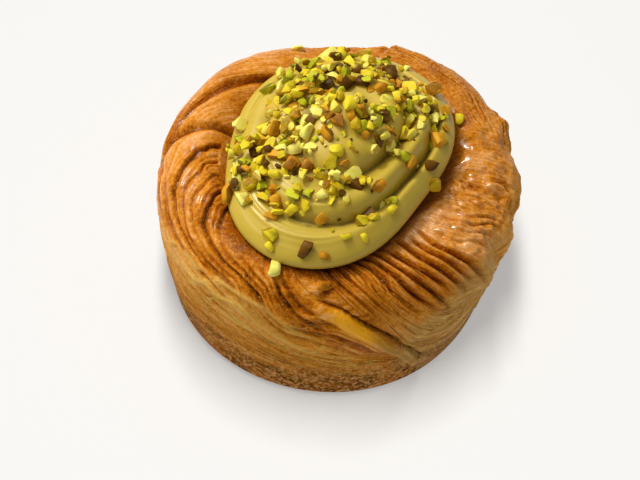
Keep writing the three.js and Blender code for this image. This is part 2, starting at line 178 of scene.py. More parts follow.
floor_only, all_but_floor = (bpy.data.collections.new(name) for name in ("floor only", "all but the floor"))
for group in (floor_only, all_but_floor):
    group.objects.link(floor)
all_but_floor.collection_objects[0].light_linking.link_state = "EXCLUDE"
for lamp in lamps:
    lamp.light_linking.receiver_collection = floor_only if lamp.name == FLOOR_LAMP else all_but_floor
print("floor:", FLOOR_SIZE, "m wide, lit by the", FLOOR_LAMP)

# %% [markdown]
# ## The dough's body
#
# A place on the dough is an angle round the axis (counter-clockwise from +X, so 270 is the front) and a
# reach: millimetres along the skin from the top of the rim, negative down into the hollow and positive
# over the shoulder and down the wall. One function turns the two into a radius and a height. Working on
# whole arrays at once keeps a mesh of a hundred thousand points quick. The sizes repeat those of the
# solid.

# %% Small helpers for arrays
HASH_STEP, HASH_SEED, HASH_START, HASH_SPREAD = 127.1, 311.7, 11.7, 43758.5453
CLOUD_ROW = 57.0


def smooth(low, high, x):
    """0 up to low and 1 from high on, with an even curve between."""
    t = np.clip((x - low) / (high - low), 0, 1)
    return t * t * (3 - 2 * t)


def within(x, low, high, margin, high_margin=None):
    """1 from low to high, easing to 0 over a margin on each side."""
    high_margin = high_margin or margin
    return smooth(low - margin, low + margin, x) * (1 - smooth(high - high_margin, high + high_margin, x))


def sway(angle, size, towards):
    """A slow lean of a size towards one side."""
    return size * np.cos(np.radians(angle - towards))


def dent(angle, size, at, spread):
    """A size that dies away on both sides of one angle."""
    aside = ((angle - at + 180) % 360 - 180) / spread
    return size * np.exp(-aside * aside)


def bell(x, width):
    """1 at zero, dying away to both sides over a width."""
    return np.exp(-((x / width) ** 2))


def arch(x, width):
    """1 at zero, down to 0 in a half circle at a width."""
    return np.sqrt(np.clip(1 - (x / width) ** 2, 0, 1))


def scatter(n, seed):
    """A repeatable number from 0 to 1 for each whole number."""
    s = np.sin(n * HASH_STEP + seed * HASH_SEED + HASH_START) * HASH_SPREAD
    return s - np.floor(s)


def cloud(u, v, seed, around=None):
    """Smooth noise from 0 to 1 over a plane; it closes on itself along u after `around` cells."""
    i, j = np.floor(u), np.floor(v)
    s, t = smooth(0, 1, u - i), smooth(0, 1, v - j)
    wrap = (lambda n: n % around) if around else (lambda n: n)
    knots = [[scatter(wrap(i + di) + CLOUD_ROW * (j + dj), seed) for di in (0, 1)] for dj in (0, 1)]
    rows = [a + (b - a) * s for a, b in knots]
    return rows[0] + (rows[1] - rows[0]) * t


print("an even curve:", smooth(0, 1, np.linspace(0, 1, 5)).round(2))

# %% The plain body
RING_RADIUS, RING_SWAY = 48.4, (0.4, 165)
RIM_RADIUS, RIM_HEIGHT, RIM_SWAY = 37, 45, (2.8, 132)
BACK_DENT = (2.9, 89, 26)
WIDEST_HEIGHT, WIDEST_SWAY, WIDEST_DROP = 34.3, (3, 40), (9, 285, 52)
FOOT_RADIUS, FOOT_SWAY, FOOT_DENT, FOOT_CORNER = 45.7, (0.9, 165), (3.6, 339, 40), 3.5
FLOOR_HEIGHT, FLOOR_RADIUS, RIM_SHELF = 27, 14, (9, 322, 32)
HOLLOW_REACH, SHOULDER_REACH, SHOULDER_GAIN = 40, 16, 0.65
FOOT_REACH, CORNER_REACH, BASE_REACH = 49, 5.5, 42
SHOULDER_POWER, WALL_POWER = 0.92, 1.2


def body(angle, reach):
    """Radius and height of the plain dough, before any folds."""
    drop = dent(angle, *WIDEST_DROP)
    widest = RING_RADIUS + sway(angle, *RING_SWAY) - dent(angle, *BACK_DENT)
    widest_height = WIDEST_HEIGHT + sway(angle, *WIDEST_SWAY) - drop
    rim = RIM_HEIGHT + sway(angle, *RIM_SWAY) - dent(angle, *BACK_DENT)
    foot = FOOT_RADIUS + sway(angle, *FOOT_SWAY) - dent(angle, *FOOT_DENT)
    shoulder = SHOULDER_REACH + SHOULDER_GAIN * drop

    hollow_r = RIM_RADIUS * np.clip(1 + reach / HOLLOW_REACH, 0, 1)
    shelf = RIM_RADIUS - dent(angle, *RIM_SHELF)
    hollow_z = FLOOR_HEIGHT + (rim - FLOOR_HEIGHT) * smooth(FLOOR_RADIUS, shelf, hollow_r)
    over = np.clip(reach / shoulder, 0, 1) * np.pi / 2
    over_r = RIM_RADIUS + (widest - RIM_RADIUS) * np.sin(over) ** SHOULDER_POWER
    over_z = widest_height + (rim - widest_height) * np.maximum(0, np.cos(over)) ** SHOULDER_POWER
    down = np.clip((reach - shoulder) / (FOOT_REACH - shoulder), 0, 1)
    wall_r = widest - (widest - foot) * down**WALL_POWER
    wall_z = widest_height + (FOOT_CORNER - widest_height) * down
    turn = np.clip((reach - FOOT_REACH) / CORNER_REACH, 0, 1) * np.pi / 2
    inwards = np.clip((reach - FOOT_REACH - CORNER_REACH) / BASE_REACH, 0, 1)
    base_r = (foot - FOOT_CORNER * (1 - np.cos(turn))) * (1 - inwards)
    base_z = FOOT_CORNER * (1 - np.sin(turn))

    zones = [reach < 0, reach < shoulder, reach < FOOT_REACH]
    r = np.select(zones, [hollow_r, over_r, wall_r], base_r)
    z = np.select(zones, [hollow_z, over_z, wall_z], base_z)
    return r, z


UNROLL_START = 100


def unrolled(angle):
    """The angle counted on from the back, so that no fold crosses the place where it starts again."""
    return UNROLL_START + (angle - UNROLL_START) % 360


COIL_RADIUS = 46
MM_PER_DEGREE = math.radians(COIL_RADIUS)
print("widest", 2 * RING_RADIUS, "mm, rim", RIM_HEIGHT, "mm high")

# %% [markdown]
# ## The folds
#
# Baked layers open where the strip bends. On the right their edges cross the rim as ribs that fan out of
# one far point. On the left they leave the hollow, bend round and run along the strip as strands, and the
# strip ends at the front in a tail with a rounded ridge along its edge. Each kind of fold is one function
# that gives how far it lifts the skin and how deep in a groove a place lies; that depth later darkens the
# colour as painted shade in the grooves. A groove keeps its width in millimetres however the layers crowd,
# so the mesh can always carry it. A sculpted mesh would look as good, but could not be changed by a number.

# %% Grooves, terraces and paths
FAINTEST_GROOVE = 0.3
CROWDED, CLEAR = 1.5, 2.8
CORNER_STEPS = 3
FARTHEST = 1000.0


def uneven(a, reach, size, cell, seed, closed=True):
    """Noise of a size about 0, in cells of so many degrees and millimetres, closed round the coil or not."""
    around = 360 / cell[0] if closed else None
    return size * (cloud(a / cell[0], reach / cell[1], seed, around) - 0.5)


def grooves(phase, pitch, width, seed, faintest=FAINTEST_GROOVE):
    """Grooves at whole phases, 0 to -1, some deep and some faint; they close where they crowd."""
    nearest = np.round(phase)
    aside = (phase - nearest) * pitch / width
    depth = faintest + (1 - faintest) * scatter(nearest, seed)
    return -depth * smooth(CROWDED, CLEAR, pitch / width) * np.exp(-aside * aside)


def terraces(phase, pitch, width, seed):
    """Layers side by side, each a little higher or lower than the next, -0.5 to 0.5."""
    nearest = np.round(phase)
    step = smooth(-1, 1, (phase - nearest) * pitch / width)
    return scatter(nearest - 1, seed) * (1 - step) + scatter(nearest, seed) * step - 0.5


def rounded_line(a, knots, ease):
    """A line through knots of (angle, value), with its corners rounded over an ease to both sides."""
    angles, values = zip(*knots)
    steps = range(-CORNER_STEPS, CORNER_STEPS + 1)
    return sum(np.interp(a + ease * k / CORNER_STEPS, angles, values) for k in steps) / len(steps)


def from_path(a, reach, path):
    """Millimetres to a path of (angle, reach) places, the share of the way along it, and the side of it."""
    x, y = a * MM_PER_DEGREE, reach
    nearest, share, side = (np.full(np.shape(x), start) for start in (FARTHEST, 0.0, 0.0))
    legs = len(path) - 1
    for leg, ((a0, y0), (a1, y1)) in enumerate(zip(path, path[1:])):
        x0, dx, dy = a0 * MM_PER_DEGREE, (a1 - a0) * MM_PER_DEGREE, y1 - y0
        t = np.clip(((x - x0) * dx + (y - y0) * dy) / (dx * dx + dy * dy), 0, 1)
        away = np.hypot(x - x0 - t * dx, y - y0 - t * dy)
        closer = away < nearest
        nearest = np.where(closer, away, nearest)
        share = np.where(closer, (leg + t) / legs, share)
        side = np.where(closer, np.sign((y - y0) * dx - (x - x0) * dy), side)
    return nearest, share, side


print("grooves are full from", CLEAR, "of their widths apart, and closed at", CROWDED)

# %% The tail's edge
STRIP_TOP = -9
TAIL_EDGE = (
    (244, STRIP_TOP), (252, 1), (258, 5), (264, 7), (270, 9), (274, 12),
    (280, 15.5), (285, 18), (288.5, 20.6), (291.5, 25), (295, 33), (297.4, 41),
)
TAIL_EDGE_EASE, TAIL_SEAM_EASE = 2, 0.6
TAIL_TIP_ANGLE = 297
HALF_DEGREE = 0.5


def tail_edge(a):
    """Reach of the strip's upper edge: deep in the hollow on the left, and the tail's edge on the right."""
    return rounded_line(a, TAIL_EDGE, TAIL_EDGE_EASE)


def below_tail_edge(a, reach):
    """Millimetres below the tail's edge, square to it; negative on the ribbed side."""
    slope = (tail_edge(a + HALF_DEGREE) - tail_edge(a - HALF_DEGREE)) / MM_PER_DEGREE
    return (reach - tail_edge(a)) / np.hypot(1, slope)


def tail_share(a, reach):
    """1 on the strip as far as the tail's tip, and 0 beyond its edge."""
    return smooth(-TAIL_SEAM_EASE, TAIL_SEAM_EASE, below_tail_edge(a, reach)) * (a < TAIL_TIP_ANGLE)


print("tail's edge:", len(TAIL_EDGE), "places down to reach", TAIL_EDGE[-1][1])

# %% The tail's ridge
RIDGE_PATH = (
    (260, 9.2), (264, 9.9), (270, 11.7), (274, 14.0),
    (280, 17.5), (286.5, 21.6), (290.5, 27.6), (295.3, 38.2),
)
RIDGE_WIDTH, RIDGE_TIP_WIDTH = 1.8, 1.5
RIDGE_HEIGHT, RIDGE_TIP_HEIGHT = 1.2, 1.6
RIDGE_LOWER_WIDTH, RIDGE_LOWER_POWER = 1.05, 2
TAIL_GROOVE, TAIL_TIP_GROOVE_GAIN = 0.65, 0.5
TAIL_GROOVE_WIDTH, TAIL_GROOVE_ASIDE = 0.3, 0.6
TAIL_STEP, TAIL_STEP_FADE = 0.5, 4
BRIM_INSET, BRIM_WIDTH = 0.3, 0.35
SHADE_BEGINS, SHADE_FADES = (0.9, 1.4), (3, 8)
# Shares of the way along the ridge: where each begins and is full, or begins, ends and over what it eases.
SIDES_PART, STEP_RISES, RIDGE_RISES, RIDGE_SLIMS = (0, 0.1), (0, 0.15), (0, 0.24), (0.4, 0.8)
PLUMP_ENDS, BRIM_RISES = (0.5, 0.7), (0.72, 0.86)
GOLDEN_ALONG, SHADE_ALONG = (0.22, 0.6, 0.08), (0.35, 1.2, 0.1)


def tail_fold(a, reach):
    """The tail's rounded ridge with the groove above it, the pale brim of its tip and the shade below it."""
    away, along, side = from_path(a, reach, RIDGE_PATH)
    past_tip = along >= 1
    slim = smooth(*RIDGE_SLIMS, along)
    rises = smooth(*RIDGE_RISES, along)
    above = 0.5 - 0.5 * side * smooth(*SIDES_PART, along)
    width = RIDGE_WIDTH + (RIDGE_TIP_WIDTH - RIDGE_WIDTH) * slim
    upper = arch(away, width)
    lower = np.exp(-((away / width / RIDGE_LOWER_WIDTH) ** (RIDGE_LOWER_POWER * (1 + slim))))
    ridge = (above * upper + (1 - above) * lower) * rises
    groove_width = TAIL_GROOVE_WIDTH * (1 + slim)
    groove = bell(away - width - TAIL_GROOVE_ASIDE * groove_width, groove_width)
    groove = groove * np.maximum(above**2, past_tip) * rises
    sunk = TAIL_STEP * above * np.exp(-np.maximum(away - width, 0) / TAIL_STEP_FADE)
    sunk = sunk * smooth(*STEP_RISES, along) * (along < 1)
    height = RIDGE_HEIGHT + (RIDGE_TIP_HEIGHT - RIDGE_HEIGHT) * slim
    depth = TAIL_GROOVE * (1 + TAIL_TIP_GROOVE_GAIN * slim)
    brim = bell(away - width + BRIM_INSET, BRIM_WIDTH) * smooth(*BRIM_RISES, along)
    shade = (1 - above) * smooth(*SHADE_BEGINS, away / width) * (1 - smooth(*SHADE_FADES, away))
    return dict(
        lift=height * ridge - depth * groove - sunk * (away > width),
        place=-groove,
        ridge=ridge,
        golden=within(along, *GOLDEN_ALONG),
        plump=1 - smooth(*PLUMP_ENDS, along),
        brim=brim * np.maximum(above, past_tip),
        shade=shade * within(along, *SHADE_ALONG),
    )


print("tail's ridge:", len(RIDGE_PATH), "places from angle", RIDGE_PATH[0][0], "to", RIDGE_PATH[-1][0])

# %% Ribs on the right
RIBS_FROM, RIBS_TO, RIBS_INNER, RIBS_OUTER, RIBS_EASE = 262, 356, -12, 11, 3
RIB_PITCH, RIB_DEPTH, RIB_STEP, RIB_TILT = 5.4, 2.4, 0.8, 1.1
RIB_FAN_ANGLE, RIB_LEAN, RIB_LEAN_FROM, RIB_LEAN_TO = 346, 0.0142, -10, 30
RIB_WAVER, RAGGED_RIB_WAVER, RIB_WAVER_CELL = 0.7, 1.1, (9, 10)
RIB_INNER_SPREAD, RIB_INNER_EASE = 4, 4
RIB_OUTER_SPREAD, BOLD_RIB_EXTRA, RIB_OUTER_FADE = 5, 3, (-5, 1)
BOLD_RIBS_FROM, BOLD_RIBS_TO, BOLD_RIBS_EASE = 283, 317, 4
RAGGED_RIBS = (313, 329)
RIB_STRENGTH, BOLD_RIB_STRENGTH, FRONT_RIB_STRENGTH = 0.36, 0.64, 0.14
RIB_GROOVE, BOLD_RIB_GROOVE, BOLD_RIB_EVENNESS = 0.5, 0.95, 0.5
FINE_RIBS_PER_RIB, FINE_RIB_GROOVE, FINE_RIB_WAVER = 3, 0.34, 1.5
FINE_RIB_SHARE, FINE_RIB_DEPTH, FINE_RIB_BEHIND = 0.4, 0.25, 0.5


def rib_lean(reach):
    """Share of the way to the fan's far point that a rib has leant at a reach."""
    return RIB_LEAN * np.clip(reach, RIB_LEAN_FROM, RIB_LEAN_TO)


def rib_start(a, reach):
    """The angle at which the rib through a place crosses the rim."""
    lean = rib_lean(reach)
    return (a - lean * RIB_FAN_ANGLE) / (1 - lean)


def rib_fold(a, reach):
    """Lift of the ribs, each groove with its own ends, and how deep in a groove a place lies."""
    start = rib_start(a, reach)
    waver = uneven(start, reach, 1, RIB_WAVER_CELL, seed=3.0, closed=False)
    wavering = RIB_WAVER + RAGGED_RIB_WAVER * smooth(*RAGGED_RIBS, start)
    phase = (start - RIBS_FROM) / RIB_PITCH + wavering * waver
    number = np.round(phase)
    pitch = RIB_PITCH * MM_PER_DEGREE * (1 - rib_lean(reach))
    bold = within(start, BOLD_RIBS_FROM, BOLD_RIBS_TO, BOLD_RIBS_EASE)
    in_front = start < BOLD_RIBS_FROM
    inner = RIBS_INNER + RIB_INNER_SPREAD * scatter(number, seed=2.0)
    outer = RIBS_OUTER + BOLD_RIB_EXTRA * bold + RIB_OUTER_SPREAD * scatter(number, seed=6.0)
    ends = smooth(inner, inner + RIB_INNER_EASE, reach)
    ends = ends * (1 - smooth(outer + RIB_OUTER_FADE[0], outer + RIB_OUTER_FADE[1], reach))
    width = RIB_GROOVE + (BOLD_RIB_GROOVE - RIB_GROOVE) * bold
    strong = RIB_STRENGTH + BOLD_RIB_STRENGTH * bold + FRONT_RIB_STRENGTH * in_front
    faintest = FAINTEST_GROOVE + BOLD_RIB_EVENNESS * bold
    wide = strong * grooves(phase, pitch, width, seed=1.0, faintest=faintest) * ends
    fine_phase = FINE_RIBS_PER_RIB * phase + FINE_RIB_WAVER * waver
    fine = grooves(fine_phase, pitch / FINE_RIBS_PER_RIB, FINE_RIB_GROOVE, seed=5.0)
    fine = fine * within(reach, RIBS_INNER, RIBS_OUTER + BOLD_RIB_EXTRA, RIBS_EASE)
    fine = fine * np.where(in_front, 1, FINE_RIB_BEHIND)
    tilted = RIB_TILT * (0.5 - (phase - np.floor(phase)))
    raised = strong * ends * (RIB_STEP * terraces(phase, pitch, width, seed=7.0) + tilted)
    shown = within(start, RIBS_FROM, RIBS_TO, RIBS_EASE) * (1 - tail_share(a, reach))
    lift = RIB_DEPTH * (wide + FINE_RIB_DEPTH * fine) + raised
    return shown * lift, shown * (wide + FINE_RIB_SHARE * fine)


print("ribs:", round((RIBS_TO - RIBS_FROM) / RIB_PITCH))

# %% The way of the strands on the left
STRANDS_FROM, STRANDS_TO, STRAND_PITCH = 168, 250, 9
STRAND_START, STRAND_BEND = -6, 15
FIRST_STRAND, FIRST_LEVEL, LEVEL_PER_DEGREE = 179, 10.5, -0.09
STRIP_FOOT_ANGLE, STRIP_FOOT_REACH, STRIP_FOOT_SLOPE = 235, 14, 0.33
# size, cell in degrees and millimetres, seed
STRAND_WAVERS = ((1, (11, 4), 8.0), (0.5, (4, 2), 28.0))
STRAND_WAVER = 0.32
SEARCH_FROM, SEARCH_BEYOND, HALVINGS = -250.0, 4.0, 22


def strand_level(left):
    """The reach that the strand leaving the hollow at an angle settles at."""
    return FIRST_LEVEL + LEVEL_PER_DEGREE * (left - FIRST_STRAND)


def strand_through(a, reach):
    """The angle at which the strand through a place left the hollow, found by halving."""
    low = np.full(np.shape(reach), SEARCH_FROM)
    high = np.full(np.shape(reach), STRANDS_TO + SEARCH_BEYOND * STRAND_PITCH)
    for _ in range(HALVINGS):
        middle = (low + high) / 2
        level = strand_level(middle)
        outside = level - (level - STRAND_START) * np.exp(np.minimum(0, middle - a) / STRAND_BEND) > reach
        low, high = np.where(outside, middle, low), np.where(outside, high, middle)
    return low


def strip_share(a, reach):
    """How far up the strip's width a place lies; the strip narrows towards its tail."""
    foot = STRIP_FOOT_REACH + STRIP_FOOT_SLOPE * np.maximum(0, a - STRIP_FOOT_ANGLE)
    return (foot - reach) / np.maximum(1, foot - tail_edge(a))


def strand_phase(a, reach):
    """A number that grows by one from each strand to the next."""
    level = STRIP_FOOT_REACH - strip_share(a, reach) * (STRIP_FOOT_REACH - STRIP_TOP)
    waver = sum(uneven(a, reach, *one, closed=False) for one in STRAND_WAVERS)
    return strand_through(np.minimum(a, STRANDS_TO), level) / STRAND_PITCH + STRAND_WAVER * waver


print("strands settle at reach", *(round(strand_level(left), 1) for left in (STRANDS_FROM, STRANDS_TO)))

# %% Strands on the left
STRAND_DEPTH, STRAND_STEP, STRAND_EASE = 1.2, 0.9, 0.04
STRAND_STEP_WIDTH, STRAND_STEP_PITCH = 1.2, (1.5, 3)
STRAND_GROOVE, FINE_STRAND_GROOVE = 0.54, 0.4
FINE_STRANDS_PER_STRAND, FINE_STRAND_SHIFT = 3, 0.2
FINE_STRAND_SHARE, FINE_STRAND_DEPTH = 0.45, 0.3
PLAIN_BESIDE_CREAM, PLAIN_ENDS = (216, 272, 6), (2, 6)
STRANDS_FADE = (256, 276)
PITCH_STEP_ANGLE, PITCH_STEP_REACH, SLOWEST_PHASE = 0.25, 0.2, 0.05


def local_pitch(phase_at, a, reach):
    """Millimetres from one whole phase to the next, square to the grooves."""
    da, dr = PITCH_STEP_ANGLE, PITCH_STEP_REACH
    across = (phase_at(a + da, reach) - phase_at(a - da, reach)) / (2 * da * MM_PER_DEGREE)
    down = (phase_at(a, reach + dr) - phase_at(a, reach - dr)) / (2 * dr)
    return 1 / np.maximum(np.hypot(across, down), SLOWEST_PHASE)


def strand_fold(a, reach):
    """Lift of the strands, and how deep in a groove a place lies."""
    phase, pitch = strand_phase(a, reach), local_pitch(strand_phase, a, reach)
    wide = grooves(phase, pitch, STRAND_GROOVE, seed=1.0)
    fine_phase = FINE_STRANDS_PER_STRAND * phase + FINE_STRAND_SHIFT
    fine = grooves(fine_phase, pitch / FINE_STRANDS_PER_STRAND, FINE_STRAND_GROOVE, seed=9.0)
    shown = (
        within(phase * STRAND_PITCH, STRANDS_FROM, STRANDS_TO, STRAND_PITCH / 2)
        * within(strip_share(a, reach), 0, 1, STRAND_EASE)
        * (1 - smooth(*STRANDS_FADE, a))
        * (1 - within(a, *PLAIN_BESIDE_CREAM) * (1 - smooth(*PLAIN_ENDS, reach)))
    )
    steps = terraces(phase, pitch, STRAND_STEP_WIDTH, seed=4.0)
    lift = STRAND_DEPTH * (wide + FINE_STRAND_DEPTH * fine)
    lift = lift + STRAND_STEP * steps * smooth(*STRAND_STEP_PITCH, pitch)
    return shown * lift, shown * (wide + FINE_STRAND_SHARE * fine)


print("strands:", round((STRANDS_TO - STRANDS_FROM) / STRAND_PITCH))

# %% Creases at the back
CREASE_RADIUS, CREASE_EASE, CREASE_FADE, DEEPEST_CREASE = 43, 4, 11, 1.6
CREASES = (
    # angle, slope, from reach, to reach, depth, width, step
    (138, 3.4, -6, 9, DEEPEST_CREASE, 1.2, 1.2),
    (165, 0.6, -8, 13, 1.2, 1.2, 0.7),
    (435, -0.4, -6, 14, 0.5, 1.2, 1.4),
)


def crease_fold(a, reach):
    """Lift of the long creases at the back, and how deep in one a place lies."""
    lift, place = np.zeros_like(reach), np.zeros_like(reach)
    mm_per_degree = math.radians(CREASE_RADIUS)
    clear_of_start = smooth(UNROLL_START, UNROLL_START + CREASE_FADE, a)
    for angle, slope, inner, outer, depth, width, height in CREASES:
        aside = (a - angle - slope * reach) * mm_per_degree / math.hypot(1, slope * mm_per_degree)
        groove = bell(aside, width)
        step = height * smooth(0, width, -aside) * np.exp(np.minimum(aside, 0) / CREASE_FADE)
        shown = within(reach, inner, outer, CREASE_EASE) * clear_of_start
        lift += shown * (step - depth * groove)
        place -= shown * groove * depth / DEEPEST_CREASE
    return lift, place


print("creases:", len(CREASES))

# %% Lobes and small folds
LOBE_NOTCHES = (316, 331, 346, 370, 391)
LOBE_DEPTH, LOBE_MIDDLE = 2.0, 0.6
LOBES_INNER, LOBES_OUTER, LOBES_EASE = 7, 24, 7
SMALL_FOLDS = (
    # path, half width, lift, groove (its sign is the side it lies on), whether the crest is tan
    (((261.5, 5.0), (264, 3.6), (268, 2.2)), 1.3, 1.5, 0.5, True),
    (((351, 1.5), (351, 6), (349.5, 9), (346.5, 11)), 0.9, 1.0, -1.3, False),
    (((300, 1), (304, 7)), 0.7, 0.5, 0.3, False),
    (((384, 12), (378, 14)), 1.3, 0.8, 0.0, False),
    (((439, 7), (427, 9)), 1.5, 0.9, 0.0, False),
)
FOLD_ENDS, FOLD_GROOVE_ASIDE, FOLD_CREST = (0.06, 0.94), 1.5, 0.6


def lobe_fold(a, reach):
    """Lift of the puffed lobes on the right shoulder, with a notch between each and the next."""
    round_coil = within(a, LOBE_NOTCHES[0], LOBE_NOTCHES[-1], LOBES_EASE)
    shown = round_coil * within(reach, LOBES_INNER, LOBES_OUTER, LOBES_EASE)
    wave = np.abs(np.sin(np.pi * np.interp(a, LOBE_NOTCHES, range(len(LOBE_NOTCHES)))))
    return shown * LOBE_DEPTH * (wave - LOBE_MIDDLE)


def small_folds(a, reach):
    """The flap by the cream's front edge, the curled rim of a burst bubble on the right, and flakes."""
    lift, place, crest = (np.zeros_like(reach) for _ in range(3))
    for path, width, height, groove_depth, is_tan in SMALL_FOLDS:
        away, along, side = from_path(a, reach, path)
        ends = np.sin(np.pi * np.clip(along, *FOLD_ENDS))
        groove = bell(away - FOLD_GROOVE_ASIDE * width, width) * (side * groove_depth > 0)
        lift += ends * (height * arch(away, width) - abs(groove_depth) * groove)
        place -= ends * groove * (away > width)
        crest = np.maximum(crest, is_tan * ends * (1 - smooth(FOLD_CREST * width, width, away)))
    return lift, place, crest


print("lobes:", len(LOBE_NOTCHES) - 1, "small folds:", len(SMALL_FOLDS))

# %% [markdown]
# ## The lie of the layers
#
# The finest lines of laminated dough are the edges of its layers, less than a millimetre apart. They are
# drawn in the finish, but they must run the right way: so every point of the mesh carries two places, one
# for lines that run round the coil and one for lines that cross the rim, with a share that says which of
# them shows.

# %% The lie of the layers
DROP_PER_DEGREE, DROP_EASE = 0.33, 4
BACK_SLOPE, BACK_SLOPE_ANGLE = 0.28, 118
TURN_UNDER, TURN_UNDER_ANGLE, TURN_UNDER_BEFORE, TURN_UNDER_BEND = 14, 290, -10, 14
SECOND_CREASE_ANGLE, SECOND_CREASE_SLOPE = CREASES[1][:2]
RADIAL_ANGLES, RADIAL_REACH = (RIBS_FROM, 378, 8), (-12, 15, 3)


def eased_ramp(x, ease):
    """0 below zero and x above it, with a rounded corner."""
    return 0.5 * (x + np.sqrt(x * x + ease * ease))


def round_level(a, reach):
    """A number that stays the same along a layer that runs round the coil, in millimetres of reach."""
    left_side = a - SECOND_CREASE_ANGLE - SECOND_CREASE_SLOPE * reach > 0
    on_strip = below_tail_edge(a, reach) > 0
    back = reach - BACK_SLOPE * eased_ramp(a - BACK_SLOPE_ANGLE, DROP_EASE)
    strip = reach - DROP_PER_DEGREE * eased_ramp(a - STRIP_FOOT_ANGLE, DROP_EASE)
    whorl = strand_level(strand_through(np.minimum(a, STRANDS_TO), strip))
    past_turn = np.maximum(a - TURN_UNDER_ANGLE, TURN_UNDER_BEFORE)
    right = reach + TURN_UNDER * np.exp(-past_turn / TURN_UNDER_BEND)
    beyond = (a > TAIL_TIP_ANGLE) | ~on_strip
    return np.where(left_side, np.where(beyond & (a > STRIP_FOOT_ANGLE), right, whorl), back)


def radial_share(a, reach):
    """How much the layers at a place cross the rim rather than run round it."""
    crossing = within(rib_start(a, reach), *RADIAL_ANGLES)
    return (1 - tail_share(a, reach)) * crossing * within(reach, *RADIAL_REACH)


# angle and reach of a few places
SAMPLE_PLACES = {"front": (270, 40), "right": (340, 5), "back": (450, 25), "left": (200, 5)}


def sampled(rule):
    """What a rule gives at a few places, to read while its numbers are changed."""
    return {side: round(float(rule(*place)), 2) for side, place in SAMPLE_PLACES.items()}


print("layers that cross the rim:", sampled(radial_share))

# %% [markdown]
# ## Shine, bake and tears
# ## Shine, browning, painted light and tears
#
# The brushed top bakes glossy and orange, and the wall against the ring stays matte and tan. Where a
# crust is pale or dark could be painted by hand. Here soft patches, each with an amount and a place, are
# added up instead, so that one line of a table changes one patch, and the patches follow the mesh. Three
# patches are painted light and shade: the cream's shadow beside its front edge, light that thins its
# shadow beside its right edge, and light on the left where the key lamp falls.

# %% The shiny top and the matte wall
SHINE_ENDS_LEFT = (
    (100, 18), (172, 18), (196, 15), (212, 12), (238, 11), (252, 14), (267, 19), (297, 34),
)
SHINE_ENDS_RIGHT = (
    (250, 30), (290, 19), (297, 16), (308, 14), (322, 11), (350, 10), (376, 12), (392, 17), (460, 18),
)
SHINE_WAVER, SHINE_WAVER_CELL = 3.0, (4, 2)


def past_shine(a, reach):
    """Millimetres of reach beyond the end of the shiny top."""
    on_strip = (below_tail_edge(a, reach) > 0) & (a < TAIL_TIP_ANGLE)
    left, right = (np.interp(a, *zip(*ends)) for ends in (SHINE_ENDS_LEFT, SHINE_ENDS_RIGHT))
    waver = uneven(a, reach, SHINE_WAVER, SHINE_WAVER_CELL, seed=21.0)
    return reach - np.where(on_strip, left, right) + waver


print("shine ends along", len(SHINE_ENDS_LEFT), "places on the left,", len(SHINE_ENDS_RIGHT), "on the right")

# %% How the browning and its painted light and shade vary
BAKE_MIDDLE = 0.37
BAKE_CLOUDS, BAKE_CLOUD_CELL = 0.24, (9, 5)
# bounds beyond the skin, for a patch that runs on to its end
BEFORE_START, PAST_END, INNERMOST, OUTERMOST = 0, 600, -99, 199
BAKE_LIGHT_AND_SHADE_PATCHES = (
    # darker by; angle from, to and margin; reach from, to and margins
    # painted light: lighter on the left, where the key lamp falls
    (-0.06, (145, 205, 20), (INNERMOST, 15, 5)),
    (-0.02, (BEFORE_START, 130, 25), (INNERMOST, 19, 5)),
    (-0.02, (325, PAST_END, 25), (INNERMOST, 19, 5)),
    (0.42, (BEFORE_START, PAST_END, 25), (34, OUTERMOST, 12)),
    # painted shadow of the cream beside its front edge
    (0.52, (208, 275, 12), (INNERMOST, 1.5, 4.5)),
    (-0.1, (322, 375, 10), (-1, 19, 3, 5)),
    (-0.14, (286, 330, 8), (-12, 15, 4)),
    # painted light that thins the cream's shadow beside its right edge
    (-0.16, (300, 372, 10), (INNERMOST, -3, 3)),
    (0.08, (278, 298, 6), (-2, 14, 4)),
    (0.07, (372, 432, 15), (INNERMOST, 19, 5)),
)


def patch(a, reach, angles, reaches):
    """1 on a patch of the skin and 0 off it; each range is from, to and margin."""
    return within(a, *angles) * within(reach, *reaches)


def bake_and_shade_share(a, reach):
    """Pale (0) to dark (1): lighter on the right, darker by the foot; painted light on the left, the cream's
    painted shadow by its front edge and painted light by its right edge.
    """
    patches = sum(darker * patch(a, reach, *where) for darker, *where in BAKE_LIGHT_AND_SHADE_PATCHES)
    return BAKE_MIDDLE + patches + uneven(a, reach, BAKE_CLOUDS, BAKE_CLOUD_CELL, seed=61.0)


print("bake patches:", len(BAKE_LIGHT_AND_SHADE_PATCHES))

# %% Blisters and torn layers
FRONT_BLISTERS = ((222, 300, 18), (32.5, OUTERMOST, 5.5))
TORN_WALL, TORN_WALL_REACH = 0.3, (13, 44, 3, 4)
FLAKY, FLAKY_ANGLES, FLAKY_PAST_SHINE = 0.6, (212, 290, 12), (1, 9, 2)
FLAKY_BEYOND_TAIL = ((292, 350, 8), (17, 44, 4))


def blister_share(a, reach):
    """The blistered skin low on the front."""
    return patch(a, reach, *FRONT_BLISTERS)


def torn_share(a, reach):
    """Fine torn layers on the wall, most of them at the front and beyond the tail."""
    below_shine = within(a, *FLAKY_ANGLES) * within(past_shine(a, reach), *FLAKY_PAST_SHINE)
    flaky = FLAKY * (below_shine + patch(a, reach, *FLAKY_BEYOND_TAIL))
    return TORN_WALL * within(reach, *TORN_WALL_REACH) + flaky


print("blisters:", sampled(blister_share), "torn layers:", sampled(torn_share))

# %% [markdown]
# ## The pastry
#
# The mesh is a grid of columns round the coil and rows along the skin, wrapped into a closed form with a
# point at the base and one at the hollow's floor. The columns lean with the ribs, so that a rib runs
# along them and keeps a clean edge, and stand closer together where the folds are finest. Rows stand
# close where folds show and wide apart in the hollow and under the base.

